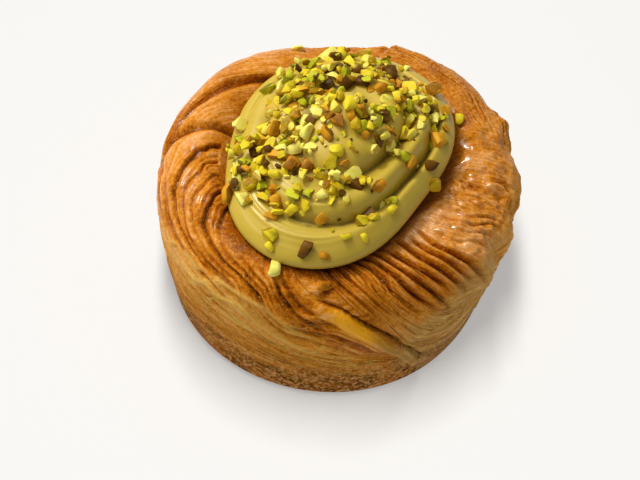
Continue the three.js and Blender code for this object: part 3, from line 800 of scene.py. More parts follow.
# %% Fine layers on the wall and the back
LINE_PITCH, LINE_WIDTH, LINE_DEPTH = 1.6, 0.4, 0.45
LINE_LIP, LINE_LIP_ASIDE, LINE_LIP_WIDTH = 0.3, -0.75, 0.42
# size, cell in degrees and millimetres, seed
LINE_WAVERS = ((2.6, (18, 7), 30.0), (0.8, (6, 2.5), 31.0))
LINE_TORN, LINE_TORN_CELL, LINE_TORN_SHIFT = (0.3, 0.65), 9, 3.7
LINES_BEGIN, LINES_HIGHER_BEYOND_TAIL = (5, 12), 4


def wavy(a, level):
    """Levels made uneven, as torn layers are."""
    return sum((uneven(a, level, *waver) for waver in LINE_WAVERS), level)


def line_fold(a, reach, level):
    """Torn layer edges along the wall: their lift, how deep in a groove and how far up a lip a place lies."""
    number = np.round(level / LINE_PITCH)
    aside = level - number * LINE_PITCH
    shifted = a / LINE_TORN_CELL + LINE_TORN_SHIFT * number
    torn = smooth(*LINE_TORN, cloud(shifted, number, seed=33.0, around=360 / LINE_TORN_CELL))
    begun = smooth(*LINES_BEGIN, reach + LINES_HIGHER_BEYOND_TAIL * (a > TAIL_TIP_ANGLE))
    shown = torn * (1 - radial_share(a, reach)) * begun
    groove = shown * bell(aside, LINE_WIDTH)
    lip = shown * bell(aside - LINE_LIP_ASIDE, LINE_LIP_WIDTH)
    return LINE_LIP * lip - LINE_DEPTH * groove, -groove, lip


print("torn lines from the rim to the foot:", round(FOOT_REACH / LINE_PITCH))

# %% Flaky lips on the strip
LIPS = (
    (
        (196, 15), (204, 13.2), (212, 12), (222, 11.3), (230, 11),
        (238, 11.4), (246, 12.6), (254, 15), (266, 20),
    ),
    (
        (208, 15.6), (216, 14.3), (226, 14), (236, 14.3), (242, 15.2),
        (248, 17), (256, 20), (264, 23), (278, 25),
    ),
    ((230, 17.5), (240, 18.7), (250, 21.5), (262, 25.5), (276, 28)),
)
LIP_HEIGHT, LIP_WIDTH, LIP_ENDS = 0.45, 0.5, (0.08, 0.92, 0.08)
LIP_WAVER, LIP_WAVER_CELL, LIP_WAVER_SEED = 1.1, (4, 1), 41.0
LIP_TORN, LIP_TORN_CELL, LIP_TORN_SEED = (0.1, 0.5), 6, 45.0


def lip_fold(a, reach):
    """Pale flaky lips along the strip, where its outer layers have lifted."""
    total = np.zeros_like(reach)
    along_coil = a * MM_PER_DEGREE
    for number, path in enumerate(LIPS):
        row = np.full_like(a, number)
        waver = uneven(along_coil, row, LIP_WAVER, LIP_WAVER_CELL, LIP_WAVER_SEED + number, closed=False)
        torn = smooth(*LIP_TORN, cloud(along_coil / LIP_TORN_CELL, row, LIP_TORN_SEED + number))
        away, along, _ = from_path(a, reach + waver, path)
        total += torn * bell(away, LIP_WIDTH) * within(along, *LIP_ENDS)
    return total


print("lips:", len(LIPS))

# %% Lumps of the skin
# size, cell in degrees and millimetres, seed
LUMPS = ((0.5, (10, 9), 51.0), (0.3, (4, 3.5), 52.0))
BLISTER_LUMPS = (0.5, (1.6, 1.2), 53.0)
RAGGED_LUMPS = ((1.1, (3.2, 3.4), 54.0), (0.7, (1.1, 1.6), 55.0))
RAGGED_PLACE = ((318, 385, 10), (-9, 24, 4))
RAGGED_FADE, RAGGED_LOSS = (9, 15), 0.6


def lump_fold(angle, reach):
    """Unevenness of the whole skin, fine on the blistered front and rough on the right."""
    a = unrolled(angle)
    ragged = patch(a, reach, *RAGGED_PLACE) * (1 - RAGGED_LOSS * smooth(*RAGGED_FADE, reach))
    return (
        sum(uneven(angle, reach, *lump) for lump in LUMPS)
        + blister_share(a, reach) * uneven(a, reach, *BLISTER_LUMPS, closed=False)
        + ragged * sum(uneven(a, reach, *lump, closed=False) for lump in RAGGED_LUMPS)
    )


print("lumps in mm:", sampled(lump_fold))

# %% The pastry's columns and rows
COLUMNS, COLUMN_SAMPLES = 530, 1440
COLUMN_DENSITY = (
    (100, 0.75), (170, 0.75), (180, 1.5), (258, 1.5), (264, 1.8), (350, 1.8), (358, 0.8), (460, 0.75),
)
LEAN_START = 193
BASE_ROWS, CORNER_ROWS = (0.7, 0.4, 0.15), 6
ROW_STEPS = ((-11.5, 30, 0.31), (30, FOOT_REACH, 0.5))
HOLLOW_EDGE = HOLLOW_REACH * (FLOOR_RADIUS / RIM_RADIUS - 1)
HOLLOW_ROWS = (ROW_STEPS[0][0], -14, -19, HOLLOW_EDGE, -36)


def dough_columns():
    """Angles of the columns, closer together where the density is higher."""
    angles = np.linspace(UNROLL_START, UNROLL_START + 360, COLUMN_SAMPLES + 1)
    middles = angles[:-1] + 180 / COLUMN_SAMPLES
    grown_to = np.concatenate([[0], np.cumsum(np.interp(middles, *zip(*COLUMN_DENSITY)))])
    return np.interp(grown_to[-1] * np.arange(COLUMNS) / COLUMNS, grown_to, angles)


def dough_rows():
    """Rows of reach from near the base's centre, up the wall and over the rim, to near the hollow's middle."""
    edge = FOOT_REACH + CORNER_REACH
    rows = [edge + BASE_REACH * share for share in BASE_ROWS]
    rows += list(np.linspace(edge, FOOT_REACH, CORNER_ROWS + 1)[:-1])
    for low, high, step in reversed(ROW_STEPS):
        rows += list(np.linspace(high, low, round((high - low) / step) + 1)[:-1])
    return np.array(rows + list(HOLLOW_ROWS))


def leaning_angle(column, reach):
    """The angle that a column has reached at a place along it."""
    start = unrolled(column)
    pull = RIB_FAN_ANGLE - RIBS_FROM
    rising = pull * (start - LEAN_START) / (RIBS_FROM - LEAN_START)
    return start + rib_lean(reach) * np.clip(np.minimum(rising, RIB_FAN_ANGLE - start), 0, None)


column_grid, reach_grid = np.meshgrid(dough_columns(), dough_rows())
angle_grid = leaning_angle(column_grid, reach_grid)
print("pastry grid:", angle_grid.shape, "rows and columns")

# %% The skin's points and facts
FOLDED = (-14, 48, 3)
RIDGE_CLEARS = (0.1, 0.6)
SLOPE_STEP = 0.05
# How much of each torn line and crease goes into the painted shade of the grooves.
LINE_SHADE_SHARE, CREASE_SHADE_SHARE = 0.55, 0.8
PAINTED_GROOVE_SHADE, DEEPEST_PAINTED_SHADE, SHADE_DARK = 0.54, -1.1, 0.16
STRIP_PALE, STRIP_ANGLES, STRIP_PAST_SHINE = 0.16, (178, 232, 12), (1, 4.5, 1.5)
LINE_LIP_PALE = 0.14
SHINE_EASE = 1.3
GLAZE, GLAZE_MORE, GLAZE_LESS, GLAZE_ENDS = 0.45, 0.55, 0.33, (3, 11)
GLAZED_ANGLES, DULL_ANGLES = (298, 385, 10), (205, 290, 10)
CREST_TAN = 0.35
LINE_PALE, LINE_PALE_BEGINS, RIDGE_UNTORN = 0.8, (8, 14), 0.8
SHOULDER_BLISTER, SHOULDER_BLISTERS = 0.5, ((335, 440, 12), (2, 18, 4))
GREY_ANGLES, GREY_BEGINS = (288, 330, 8), (-1, 3)


def lifted(angle, reach, lift):
    """Points of the plain body, moved square to its skin."""
    r, z = body(angle, reach)
    r0, z0 = body(angle, reach - SLOPE_STEP)
    r1, z1 = body(angle, reach + SLOPE_STEP)
    outwards = np.arctan2(z1 - z0, r1 - r0) + np.pi / 2
    r, z = r + lift * np.cos(outwards), z + lift * np.sin(outwards)
    turn = np.radians(angle)
    return np.stack([r * np.cos(turn), r * np.sin(turn), z], axis=-1)


def dough_surface(angle, reach):
    """Points of the dough's skin in millimetres, with what its finish needs to know."""
    a, turn = unrolled(angle), np.radians(angle)
    level = wavy(a, round_level(a, reach))
    tail = tail_fold(a, reach)
    rib, rib_place = rib_fold(a, reach)
    strand, strand_place = strand_fold(a, reach)
    crease, crease_place = crease_fold(a, reach)
    small, small_place, small_crest = small_folds(a, reach)
    line, line_place, line_lip = line_fold(a, reach, level)
    lips = lip_fold(a, reach)
    off_ridge = 1 - smooth(*RIDGE_CLEARS, tail["ridge"])
    lift = tail["lift"] + rib + off_ridge * (strand + line + LIP_HEIGHT * lips)
    lift = lift + lump_fold(angle, reach) + crease + lobe_fold(a, reach) + small
    points = lifted(angle, reach, lift * within(reach, *FOLDED))

    # deep says how far into grooves and creases a place lies; below, it darkens the colour as painted shade.
    deep = tail["place"] + rib_place + off_ridge * (strand_place + LINE_SHADE_SHARE * line_place)
    deep = deep + CREASE_SHADE_SHARE * crease_place + small_place
    past = past_shine(a, reach)
    shine = 1 - smooth(-SHINE_EASE, SHINE_EASE, past)
    strip = within(past, *STRIP_PAST_SHINE) * within(a, *STRIP_ANGLES)
    bake_and_shade = bake_and_shade_share(a, reach) - PAINTED_GROOVE_SHADE * np.maximum(deep, DEEPEST_PAINTED_SHADE) + SHADE_DARK * tail["shade"]
    glaze = GLAZE + GLAZE_MORE * within(a, *GLAZED_ANGLES) - GLAZE_LESS * within(a, *DULL_ANGLES)
    # The lip above each torn line is pale as a torn edge and also as a painted highlight on its lifted edge.
    pale = np.maximum(LINE_PALE * line_lip * smooth(*LINE_PALE_BEGINS, reach), torn_share(a, reach))
    grey = within(a, *GREY_ANGLES) * smooth(*GREY_BEGINS, past) * (1 - tail_share(a, reach))
    facts = {
        "bake_and_shade": bake_and_shade - STRIP_PALE * strip - LINE_LIP_PALE * line_lip,
        "shine": shine,
        "glaze": glaze * shine * (1 - smooth(*GLAZE_ENDS, reach)),
        "gold": tail["ridge"] * tail["golden"],
        "tan": np.maximum(tail["ridge"] * (1 - tail["plump"]), CREST_TAN * small_crest),
        "pale": pale * (1 - RIDGE_UNTORN * tail["ridge"]),
        "lip": np.maximum(lips, tail["brim"]),
        "blister": blister_share(a, reach) + SHOULDER_BLISTER * patch(a, reach, *SHOULDER_BLISTERS),
        "grey": grey * (1 + tail["place"]),
        "radial": radial_share(a, reach),
        "flow_round": np.stack([level, COIL_RADIUS * np.cos(turn), COIL_RADIUS * np.sin(turn)], axis=-1),
        "flow_radial": np.stack([rib_start(a, reach) * MM_PER_DEGREE, reach, np.zeros_like(a)], axis=-1),
    }
    return points, facts


dough_points, dough_facts = dough_surface(angle_grid, reach_grid)
print("skin:", dough_points.shape, "facts:", ", ".join(dough_facts))

# %% The pastry's mesh
def closed_grid(name, points, low_pole, high_pole):
    """A mesh from rows of points that run round an axis, closed at both ends; rows run up the outside."""
    rows, columns = points.shape[:2]
    verts = np.vstack([points.reshape(-1, 3), [low_pole, high_pole]])
    ring = np.arange(columns)
    after = (ring + 1) % columns
    below = np.arange(rows - 1)[:, None] * columns
    above = below + columns
    top = (rows - 1) * columns
    quads = np.stack([below + ring, below + after, above + after, above + ring], -1)
    faces = quads.reshape(-1, 4).tolist()
    faces += np.stack([np.full(columns, rows * columns), after, ring], -1).tolist()
    faces += np.stack([np.full(columns, rows * columns + 1), top + ring, top + after], -1).tolist()
    mesh = bpy.data.meshes.new(name)
    mesh.from_pydata(verts.tolist(), [], faces)
    mesh.shade_smooth()
    return mesh


def store(mesh, name, values):
    """Keeps a number or a vector at every point; the poles take the first value and the last."""
    is_vector = values.ndim == 3
    flat = values.reshape(-1, 3) if is_vector else values.reshape(-1)
    flat = np.concatenate([flat, flat[:1], flat[-1:]])
    kept = mesh.attributes.new(name, "FLOAT_VECTOR" if is_vector else "FLOAT", "POINT")
    kept.data.foreach_set("vector" if is_vector else "value", flat.astype(np.float32).ravel())


pastry_mesh = closed_grid("coiled_pastry", dough_points * MM, (0, 0, 0), (0, 0, FLOOR_HEIGHT * MM))
for fact_name, fact_values in dough_facts.items():
    store(pastry_mesh, fact_name, fact_values)
pastry = add_object("coiled_pastry", pastry_mesh)
print("pastry:", len(pastry_mesh.polygons), "faces, repaired:", pastry_mesh.validate())

# %% [markdown]
# ## The crust's finish
#
# Crust is one material whose colour follows its browning, with painted shade in its grooves. Grooves go
# dark brown, as painted shade, crests go orange where the egg wash shines and tan on the matte wall, torn
# layers are pale, tiny pale specks are painted glints, and the tail's ridge is golden, partly as painted
# glow. Noise stretched along the layers draws their finest edges, as colour and as bump. The alternative,
# painting a texture, would need an image; noise needs only numbers.

# %% Helpers for finishes
MIDDLE_GREY = (128, 128, 128)


def linear(red, green, blue):
    """A colour as seen on a screen, 0 to 255, turned into the light that Blender mixes."""
    def one(value):
        value /= 255
        return value / 12.92 if value <= 0.04045 else ((value + 0.055) / 1.055) ** 2.4

    return (one(red), one(green), one(blue), 1)


class Finish:
    """A material with short calls for the nodes that the finishes here are made of."""

    def __init__(self, name):
        self.material = bpy.data.materials.new(name)
        self.material.use_nodes = True
        self.tree = self.material.node_tree
        self.surface = self.tree.nodes["Principled BSDF"]

    def put(self, slot, value):
        if isinstance(value, bpy.types.NodeSocket):
            self.tree.links.new(value, slot)
        else:
            slot.default_value = value

    def attribute(self, name, output="Fac"):
        node = self.tree.nodes.new("ShaderNodeAttribute")
        node.attribute_name = name
        return node.outputs[output]

    def place(self):
        return self.tree.nodes.new("ShaderNodeTexCoord").outputs["Object"]

    def stretched(self, vector, scale):
        node = self.tree.nodes.new("ShaderNodeMapping")
        self.put(node.inputs["Vector"], vector)
        node.inputs["Scale"].default_value = scale
        return node.outputs["Vector"]

    def noise(self, vector, scale, detail=3.0, roughness=0.55, distortion=0.0):
        node = self.tree.nodes.new("ShaderNodeTexNoise")
        self.put(node.inputs["Vector"], vector)
        set_inputs(node, {"Scale": scale, "Detail": detail, "Roughness": roughness, "Distortion": distortion})
        return node.outputs["Fac"]

    def maths(self, operation, *values):
        node = self.tree.nodes.new("ShaderNodeMath")
        node.operation = operation
        for slot, value in zip(node.inputs, values):
            self.put(slot, value)
        return node.outputs["Value"]

    def ranged(self, value, low, high, to_low=0.0, to_high=1.0):
        node = self.tree.nodes.new("ShaderNodeMapRange")
        node.interpolation_type = "SMOOTHSTEP"
        for slot, given in zip(node.inputs, (value, low, high, to_low, to_high)):
            self.put(slot, given)
        return node.outputs["Result"]

    def ramp(self, value, *stops):
        node = self.tree.nodes.new("ShaderNodeValToRGB")
        elements = node.color_ramp.elements
        while len(elements) < len(stops):
            elements.new(0.5)
        for element, (place, tint) in zip(elements, stops):
            element.position = place
            element.color = linear(*tint)
        self.put(node.inputs["Fac"], value)
        return node.outputs["Color"]

    def mixed(self, share, first, second):
        """A mix of two colours; a Mix node keeps its colour sockets after those for numbers and vectors."""
        node = self.tree.nodes.new("ShaderNodeMix")
        node.data_type = "RGBA"
        self.put(node.inputs["Factor"], share)
        self.put(node.inputs[6], first)
        self.put(node.inputs[7], second)
        return node.outputs[2]

    def blended(self, share, first, second):
        """A mix of two numbers."""
        node = self.tree.nodes.new("ShaderNodeMix")
        self.put(node.inputs["Factor"], share)
        self.put(node.inputs[2], first)
        self.put(node.inputs[3], second)
        return node.outputs[0]

    def bumped(self, height, strength, distance):
        node = self.tree.nodes.new("ShaderNodeBump")
        set_inputs(node, {"Strength": strength, "Distance": distance})
        self.put(node.inputs["Height"], height)
        self.put(self.surface.inputs["Normal"], node.outputs["Normal"])


print("middle grey as light:", round(linear(*MIDDLE_GREY)[0], 3))

# %% Patterns in the crust
ROUND_STRETCH, CROSS_STRETCH, CONTOUR_STRETCH = (1.8, 0.11, 0.11), (1.6, 0.13, 1), (1.1, 0.08, 0.08)
# scale, detail, roughness and distortion of each noise
LAYER_NOISE, CONTOUR_NOISE = (1.0, 4.0, 0.62, 0.4), (1.0, 3.0, 0.6, 0.6)
BLOTCH_NOISE, GRAIN_NOISE, BLISTER_GLINT_NOISE = (170.0, 3.0), (900.0, 3.0, 0.6), (1700.0, 2.0)
WET_NOISE = (260.0, 2.0)
VEIN_WIDTH = 0.05

crust = Finish("crust")
flow_round, flow_radial = (crust.attribute(name, "Vector") for name in ("flow_round", "flow_radial"))
radial, shine = crust.attribute("radial"), crust.attribute("shine")
round_lines = crust.noise(crust.stretched(flow_round, ROUND_STRETCH), *LAYER_NOISE)
cross_lines = crust.noise(crust.stretched(flow_radial, CROSS_STRETCH), *LAYER_NOISE)
lines = crust.blended(radial, round_lines, cross_lines)
contours = crust.noise(crust.stretched(flow_round, CONTOUR_STRETCH), *CONTOUR_NOISE)
veins = crust.ranged(crust.maths("ABSOLUTE", crust.maths("SUBTRACT", contours, 0.5)), VEIN_WIDTH, 0.0)
blotches, grains, blister_glints, wetness = (
    crust.noise(crust.place(), *noise) for noise in (BLOTCH_NOISE, GRAIN_NOISE, BLISTER_GLINT_NOISE, WET_NOISE)
)
print("crust patterns:", len(crust.tree.nodes), "nodes")

# %% Crust colours
GLOSSY = ((0.0, (244, 178, 110)), (0.34, (212, 131, 27)), (0.62, (166, 85, 2)), (1.0, (76, 32, 0)))
MATTE = ((0.0, (240, 184, 108)), (0.4, (214, 138, 36)), (0.7, (166, 94, 11)), (1.0, (84, 42, 2)))
TORN_AND_GLINT = linear(230, 186, 92)
# The ridge's golden tint is partly painted glow, standing in for light through its thin dough.
GOLDEN = linear(255, 178, 4)
TAN = linear(156, 110, 12)
BLISTER = linear(206, 152, 88)
GREYED = linear(150, 120, 78)
MATTE_LINES, GLOSSY_LINES, BLOTCH_WEIGHT, GRAIN_WEIGHT = -0.65, -0.95, 0.35, -0.7
SPOT_RANGE, SPOT_STRENGTH = (0.5, 0.6), 0.85
GLINT_PAINT_RANGE, GLINT_PAINT_STRENGTH = (0.58, 0.7), 0.4

bake_and_shade = crust.attribute("bake_and_shade")
line_weight = crust.blended(shine, MATTE_LINES, GLOSSY_LINES)
for pattern, weight in ((lines, line_weight), (blotches, BLOTCH_WEIGHT), (grains, GRAIN_WEIGHT)):
    bake_and_shade = crust.maths("MULTIPLY_ADD", crust.maths("SUBTRACT", pattern, 0.5), weight, bake_and_shade)
tint = crust.mixed(shine, crust.ramp(bake_and_shade, *MATTE), crust.ramp(bake_and_shade, *GLOSSY))
spots = crust.maths("MULTIPLY", crust.ranged(grains, *SPOT_RANGE), SPOT_STRENGTH)
for fact_name, strength, over in (
    ("gold", 0.85, GOLDEN),
    ("tan", 0.9, TAN),
    ("grey", 0.45, GREYED),
    ("pale", veins, TORN_AND_GLINT),
    ("lip", 0.75, TORN_AND_GLINT),
    ("blister", spots, BLISTER),
):
    tint = crust.mixed(crust.maths("MULTIPLY", crust.attribute(fact_name), strength), tint, over)
# Painted glints: tiny pale specks in the colour stand in for highlights on the blistered crust.
painted_glints = crust.maths("MULTIPLY", crust.ranged(blister_glints, *GLINT_PAINT_RANGE), GLINT_PAINT_STRENGTH)
crust.put(crust.surface.inputs["Base Color"], crust.mixed(painted_glints, tint, TORN_AND_GLINT))
print("crust with its colours:", len(crust.tree.nodes), "nodes")

# %% Crust gloss and grain
MATTE_ROUGHNESS, GLOSSY_ROUGHNESS, GRAIN_RANGE = 0.62, (0.34, 0.12), (0.3, 0.7)
GRAIN_HEIGHT, VEIN_HEIGHT = 0.7, 0.3
CRUST_BUMP, CRUST_BUMP_HEIGHT = 0.85, 0.5
WET_RANGE = (0.42, 0.6)

glossy_roughness = crust.ranged(grains, *GRAIN_RANGE, *GLOSSY_ROUGHNESS)
crust.put(crust.surface.inputs["Roughness"], crust.blended(shine, MATTE_ROUGHNESS, glossy_roughness))
heights = crust.maths("MULTIPLY_ADD", grains, GRAIN_HEIGHT, lines)
torn_veins = crust.maths("MULTIPLY", veins, crust.attribute("pale"))
heights = crust.maths("MULTIPLY_ADD", torn_veins, VEIN_HEIGHT, heights)
crust.bumped(heights, CRUST_BUMP, CRUST_BUMP_HEIGHT * MM)
wet = crust.maths("MULTIPLY", crust.attribute("glaze"), crust.ranged(wetness, *WET_RANGE))
crust.put(crust.surface.inputs["Coat Weight"], wet)
set_inputs(crust.surface, {
    "Specular IOR Level": 0.1,
    "Specular Tint": (1.0, 0.78, 0.28, 1),
    "Coat Roughness": 0.17,
    "Coat IOR": 1.6,
})
pastry_mesh.materials.append(crust.material)
print("crust with gloss and grain:", len(crust.tree.nodes), "nodes")

# %% [markdown]
# ## The cream
#
# Cream leaves a round nozzle as a rope that is laid in a spiral and sinks into itself, so what shows is a
# dome with one spiral crease. That shape follows a rule, which makes it a job for Geometry Nodes: a flat
# grid whose two directions are the turn round the dome and the way out from its tip is bent into the
# swirl by arithmetic alone. A small class lets that arithmetic be written as plain Python, and each
# operation adds a Math node.

# %% Arithmetic that builds nodes
class Field:
    """A number inside a node tree; arithmetic on it adds Math nodes."""

    def __init__(self, tree, socket):
        self.tree = tree
        self.socket = socket

    def through(self, operation, *others):
        node = self.tree.nodes.new("ShaderNodeMath")
        node.operation = operation
        for slot, value in zip(node.inputs, (self, *others)):
            connect(self.tree, slot, value)
        return Field(self.tree, node.outputs[0])

    def __add__(self, other):
        return self.through("ADD", other)

    def __sub__(self, other):
        return self.through("SUBTRACT", other)

    def __mul__(self, other):
        return self.through("MULTIPLY", other)

    def __truediv__(self, other):
        return self.through("DIVIDE", other)

    def __pow__(self, other):
        return self.through("POWER", other)

    def __rsub__(self, other):
        return (self * -1) + other

    __radd__ = __add__
    __rmul__ = __mul__

    def eased(self, low, high):
        node = self.tree.nodes.new("ShaderNodeMapRange")
        node.interpolation_type = "SMOOTHSTEP"
        for slot, value in zip(node.inputs, (self, low, high)):
            connect(self.tree, slot, value)
        return Field(self.tree, node.outputs["Result"])


def connect(tree, slot, value):
    """Links a field to a node's input, or sets the input to a number."""
    if isinstance(value, Field):
        tree.links.new(value.socket, slot)
    else:
        slot.default_value = value


def new_tree(name, sizes):
    """A geometry tree with a geometry in and out and one named number for each size."""
    tree = bpy.data.node_groups.new(name, "GeometryNodeTree")
    tree.interface.new_socket("Geometry", in_out="OUTPUT", socket_type="NodeSocketGeometry")
    tree.interface.new_socket("Geometry", in_out="INPUT", socket_type="NodeSocketGeometry")
    for size_name in sizes:
        tree.interface.new_socket(size_name, in_out="INPUT", socket_type="NodeSocketFloat")
    tree.interface.new_socket("Finish", in_out="INPUT", socket_type="NodeSocketMaterial")
    return tree, tree.nodes.new("NodeGroupInput"), tree.nodes.new("NodeGroupOutput")


def grown(name, base_mesh, tree, settings):
    """The plain mesh that a tree makes from a base mesh, with the modifier gone."""
    carrier = add_object(name + "_carrier", base_mesh)
    modifier = carrier.modifiers.new("tree", "NODES")
    modifier.node_group = tree
    identifiers = {item.name: item.identifier for item in tree.interface.items_tree if item.in_out == "INPUT"}
    for size_name, value in settings.items():
        modifier[identifiers[size_name]] = value
    graph = bpy.context.evaluated_depsgraph_get()
    mesh = bpy.data.meshes.new_from_object(carrier.evaluated_get(graph))
    mesh.name = name
    carrier.modifiers.clear()
    bpy.data.objects.remove(carrier)
    return mesh


# %% The cream's sizes
CREAM_SIZES = {
    "Radius": 32.4,
    "Offset": 1.1,
    "Offset Towards": 147.5,
    "Oval": 4.3,
    "Oval Towards": 66.5,
    "Corners": 1.33,
    "Corners Towards": 13.8,
    "Edge Height": 46.6,
    "Edge Sway": 0.8,
    "Edge Sway Towards": 80.0,
    "Tip Height": 64.0,
    "Tip Lean X": 3.0,
    "Tip Lean Y": 4.0,
    "Peak Height": 1.4,
    "Peak Share": 0.12,
    "Slope Share": 0.82,
    "Slope Power": 1.25,
    "Edge Round": 9.0,
    "Groove Start": 0.63,
    "Groove Pitch": 0.34,
    "Groove Depth": 5.0,
    "Groove Sharpness": 0.55,
    "Groove Skew": 1.8,
    "Groove Fade": 0.55,
    "Groove Fade At": 190.0,
    "Stroke Depth": 0.16,
    "Stroke Pitch": 0.038,
    "Curl Drop": 5.5,
    "Curl Contact": 0.83,
}
GROOVE_FROM, GROOVE_TO, GROOVE_EASE = 0.18, 0.87, 0.07
STROKES_BEGIN, STROKES_END = (190, 212), (252, 284)
STROKES_INNER, STROKES_OUTER = (0.55, 0.66), (0.86, 0.95)
STROKE_SPIRAL, STROKE_BEAT, STROKE_STEADY, STROKE_BEATEN = 0.2, 61, 0.6, 0.4
CREAM_COLUMNS, CREAM_ROWS = 220, 280

swirl_tree, swirl_in, swirl_out = new_tree("cream swirl", CREAM_SIZES)
size = {name: Field(swirl_tree, swirl_in.outputs[name]) for name in CREAM_SIZES}
grid = swirl_tree.nodes.new("GeometryNodeMeshGrid")
for slot, value in zip(grid.inputs, (1, 1, CREAM_COLUMNS + 1, CREAM_ROWS + 1)):
    slot.default_value = value
axes = swirl_tree.nodes.new("ShaderNodeSeparateXYZ")
swirl_tree.links.new(grid.outputs["UV Map"], axes.inputs[0])
turn = Field(swirl_tree, axes.outputs["X"])
share = Field(swirl_tree, axes.outputs["Y"]) * 2
print("swirl tree inputs:", len(CREAM_SIZES))

# %% The swirl's top
TURN = 2 * math.pi
DEGREE = math.pi / 180

degrees = turn * 360
out = share.through("MINIMUM", 1)


def swayed(towards, folds=1):
    """1 on the side that it sways towards and -1 on the other, with so many folds round the turn."""
    return ((degrees - towards) * (DEGREE * folds)).through("COSINE")


outline = size["Radius"] + size["Offset"] * swayed(size["Offset Towards"])
outline = outline + size["Oval"] * swayed(size["Oval Towards"], 2)
outline = outline + size["Corners"] * swayed(size["Corners Towards"], 3)
edge = size["Edge Height"] + size["Edge Sway"] * swayed(size["Edge Sway Towards"])
phase = ((out**2 - size["Groove Start"]) / size["Groove Pitch"] - turn).through("FRACT")
crest_line = ((phase ** size["Groove Skew"]) * math.pi).through("SINE").through("MAXIMUM", 0)
valley = 1 - crest_line ** size["Groove Sharpness"]
fading = 1 - size["Groove Fade"] * swayed(size["Groove Fade At"], 0.5) ** 2
shown = out.eased(GROOVE_FROM - GROOVE_EASE, GROOVE_FROM + GROOVE_EASE)
shown = shown * (1 - out.eased(GROOVE_TO - GROOVE_EASE, GROOVE_TO + GROOVE_EASE))
groove = size["Groove Depth"] * valley * fading * shown
stroked = degrees.eased(*STROKES_BEGIN) * (1 - degrees.eased(*STROKES_END))
stroked = stroked * out.eased(*STROKES_INNER) * (1 - out.eased(*STROKES_OUTER))
waves = ((out + turn * STROKE_SPIRAL) / size["Stroke Pitch"] * TURN).through("SINE")
beats = STROKE_STEADY + STROKE_BEATEN * (out * STROKE_BEAT).through("SINE")
strokes = size["Stroke Depth"] * waves * beats * stroked
cone = 1 - size["Slope Share"] * out ** size["Slope Power"]
rounded = (1 - out ** size["Edge Round"]).through("MAXIMUM", 0) ** 0.5
peak = size["Peak Height"] * ((out / size["Peak Share"]) ** 2 * -1).through("EXPONENT")
dome = size["Tip Height"] - (size["Tip Height"] - edge) * (1 - cone * rounded) + peak - groove + strokes
print("swirl tree nodes for the top:", len(swirl_tree.nodes))

# %% The swirl's underside
CURL_SHARE = 0.3
CREAM_GAP = 1.0
UNDER_JOIN = 0.02

curled = ((share - 1) / CURL_SHARE).through("MAXIMUM", 0).through("MINIMUM", 1)
inwards = ((share - 1 - CURL_SHARE) / (1 - CURL_SHARE)).through("MAXIMUM", 0)
inset = (1 - (1 - size["Curl Contact"]) * curled.eased(0, 1)) * (1 - inwards)
radius = outline * out * inset
rim_here = RIM_HEIGHT + RIM_SWAY[0] * swayed(RIM_SWAY[1])
aside = ((degrees - RIM_SHELF[1] + 180) / 360).through("FRACT") * 360 - 180
shelf = RIM_RADIUS - RIM_SHELF[0] * (aside * aside / -(RIM_SHELF[2] ** 2)).through("EXPONENT")
risen = ((radius - FLOOR_RADIUS) / (shelf - FLOOR_RADIUS)).eased(0, 1)
bowl = FLOOR_HEIGHT + CREAM_GAP + (rim_here - FLOOR_HEIGHT) * risen
under = edge - size["Curl Drop"] * (curled * (math.pi / 2)).through("SINE")
joined = inwards.eased(0, UNDER_JOIN)
under = under.through("MAXIMUM", bowl) * (1 - joined) + bowl * joined
print("swirl tree nodes with the underside:", len(swirl_tree.nodes))

# %% The swirl's mesh
MERGE_DISTANCE = 0.002

is_under = share.through("GREATER_THAN", 1)
above = 1 - is_under
lean = (1 - out) ** 2 * above
round_axis = turn * TURN
x = radius * round_axis.through("COSINE") + size["Tip Lean X"] * lean
y = radius * round_axis.through("SINE") + size["Tip Lean Y"] * lean
height = dome * above + under * is_under
combined = swirl_tree.nodes.new("ShaderNodeCombineXYZ")
for slot, field in zip(combined.inputs, (x * MM, y * MM, height * MM)):
    connect(swirl_tree, slot, field)
keep, bend, merge, soften, realize, coat = (
    swirl_tree.nodes.new("GeometryNode" + kind)
    for kind in (
        "StoreNamedAttribute", "SetPosition", "MergeByDistance",
        "SetShadeSmooth", "RealizeInstances", "SetMaterial",
    )
)
# The valley is kept so that the cream's finish can paint shade into the crease.
set_inputs(keep, {"Name": "valley"})
set_inputs(merge, {"Distance": MERGE_DISTANCE * MM})
connect(swirl_tree, keep.inputs["Value"], valley * shown)
swirl_tree.links.new(combined.outputs[0], bend.inputs["Position"])
swirl_tree.links.new(swirl_in.outputs["Finish"], coat.inputs["Material"])
chain = (grid, keep, bend, merge, soften, realize, coat, swirl_out)
for before, after in zip(chain, chain[1:]):
    swirl_tree.links.new(before.outputs[0], after.inputs[0])
print("swirl tree nodes:", len(swirl_tree.nodes))

# %% [markdown]
# ## The cream's finish
#
# Pistachio cream is soft and dull, a little see-through where it is thin. Cloudy noise shifts its colour,
# the valley that the tree stored paints shade into the spiral crease, and some subsurface scattering lets
# light soften the ridges. One flat colour would be simpler and would look like plastic.

# %% Cream's finish
CREAM_LIGHT = (206, 179, 68)
CREAM_DEEP = (190, 160, 38)
CREASE_SHADE_TINT = (90, 66, 2)
CREAM_CLOUDS, CREAM_SPECKS = (90.0, 3.0), (900.0, 2.0)
CREAM_RAMP = ((0.0, CREAM_DEEP), (0.75, CREAM_LIGHT))
CREASE_SHADE_POWER, CREASE_SHADE_STRENGTH = 3.0, 0.75
CREAM_ROUGHNESS, CREAM_ROUGHNESS_RANGE = (0.3, 0.4), (0.3, 0.7)
CREAM_BUMP, CREAM_BUMP_HEIGHT = 0.12, 0.2

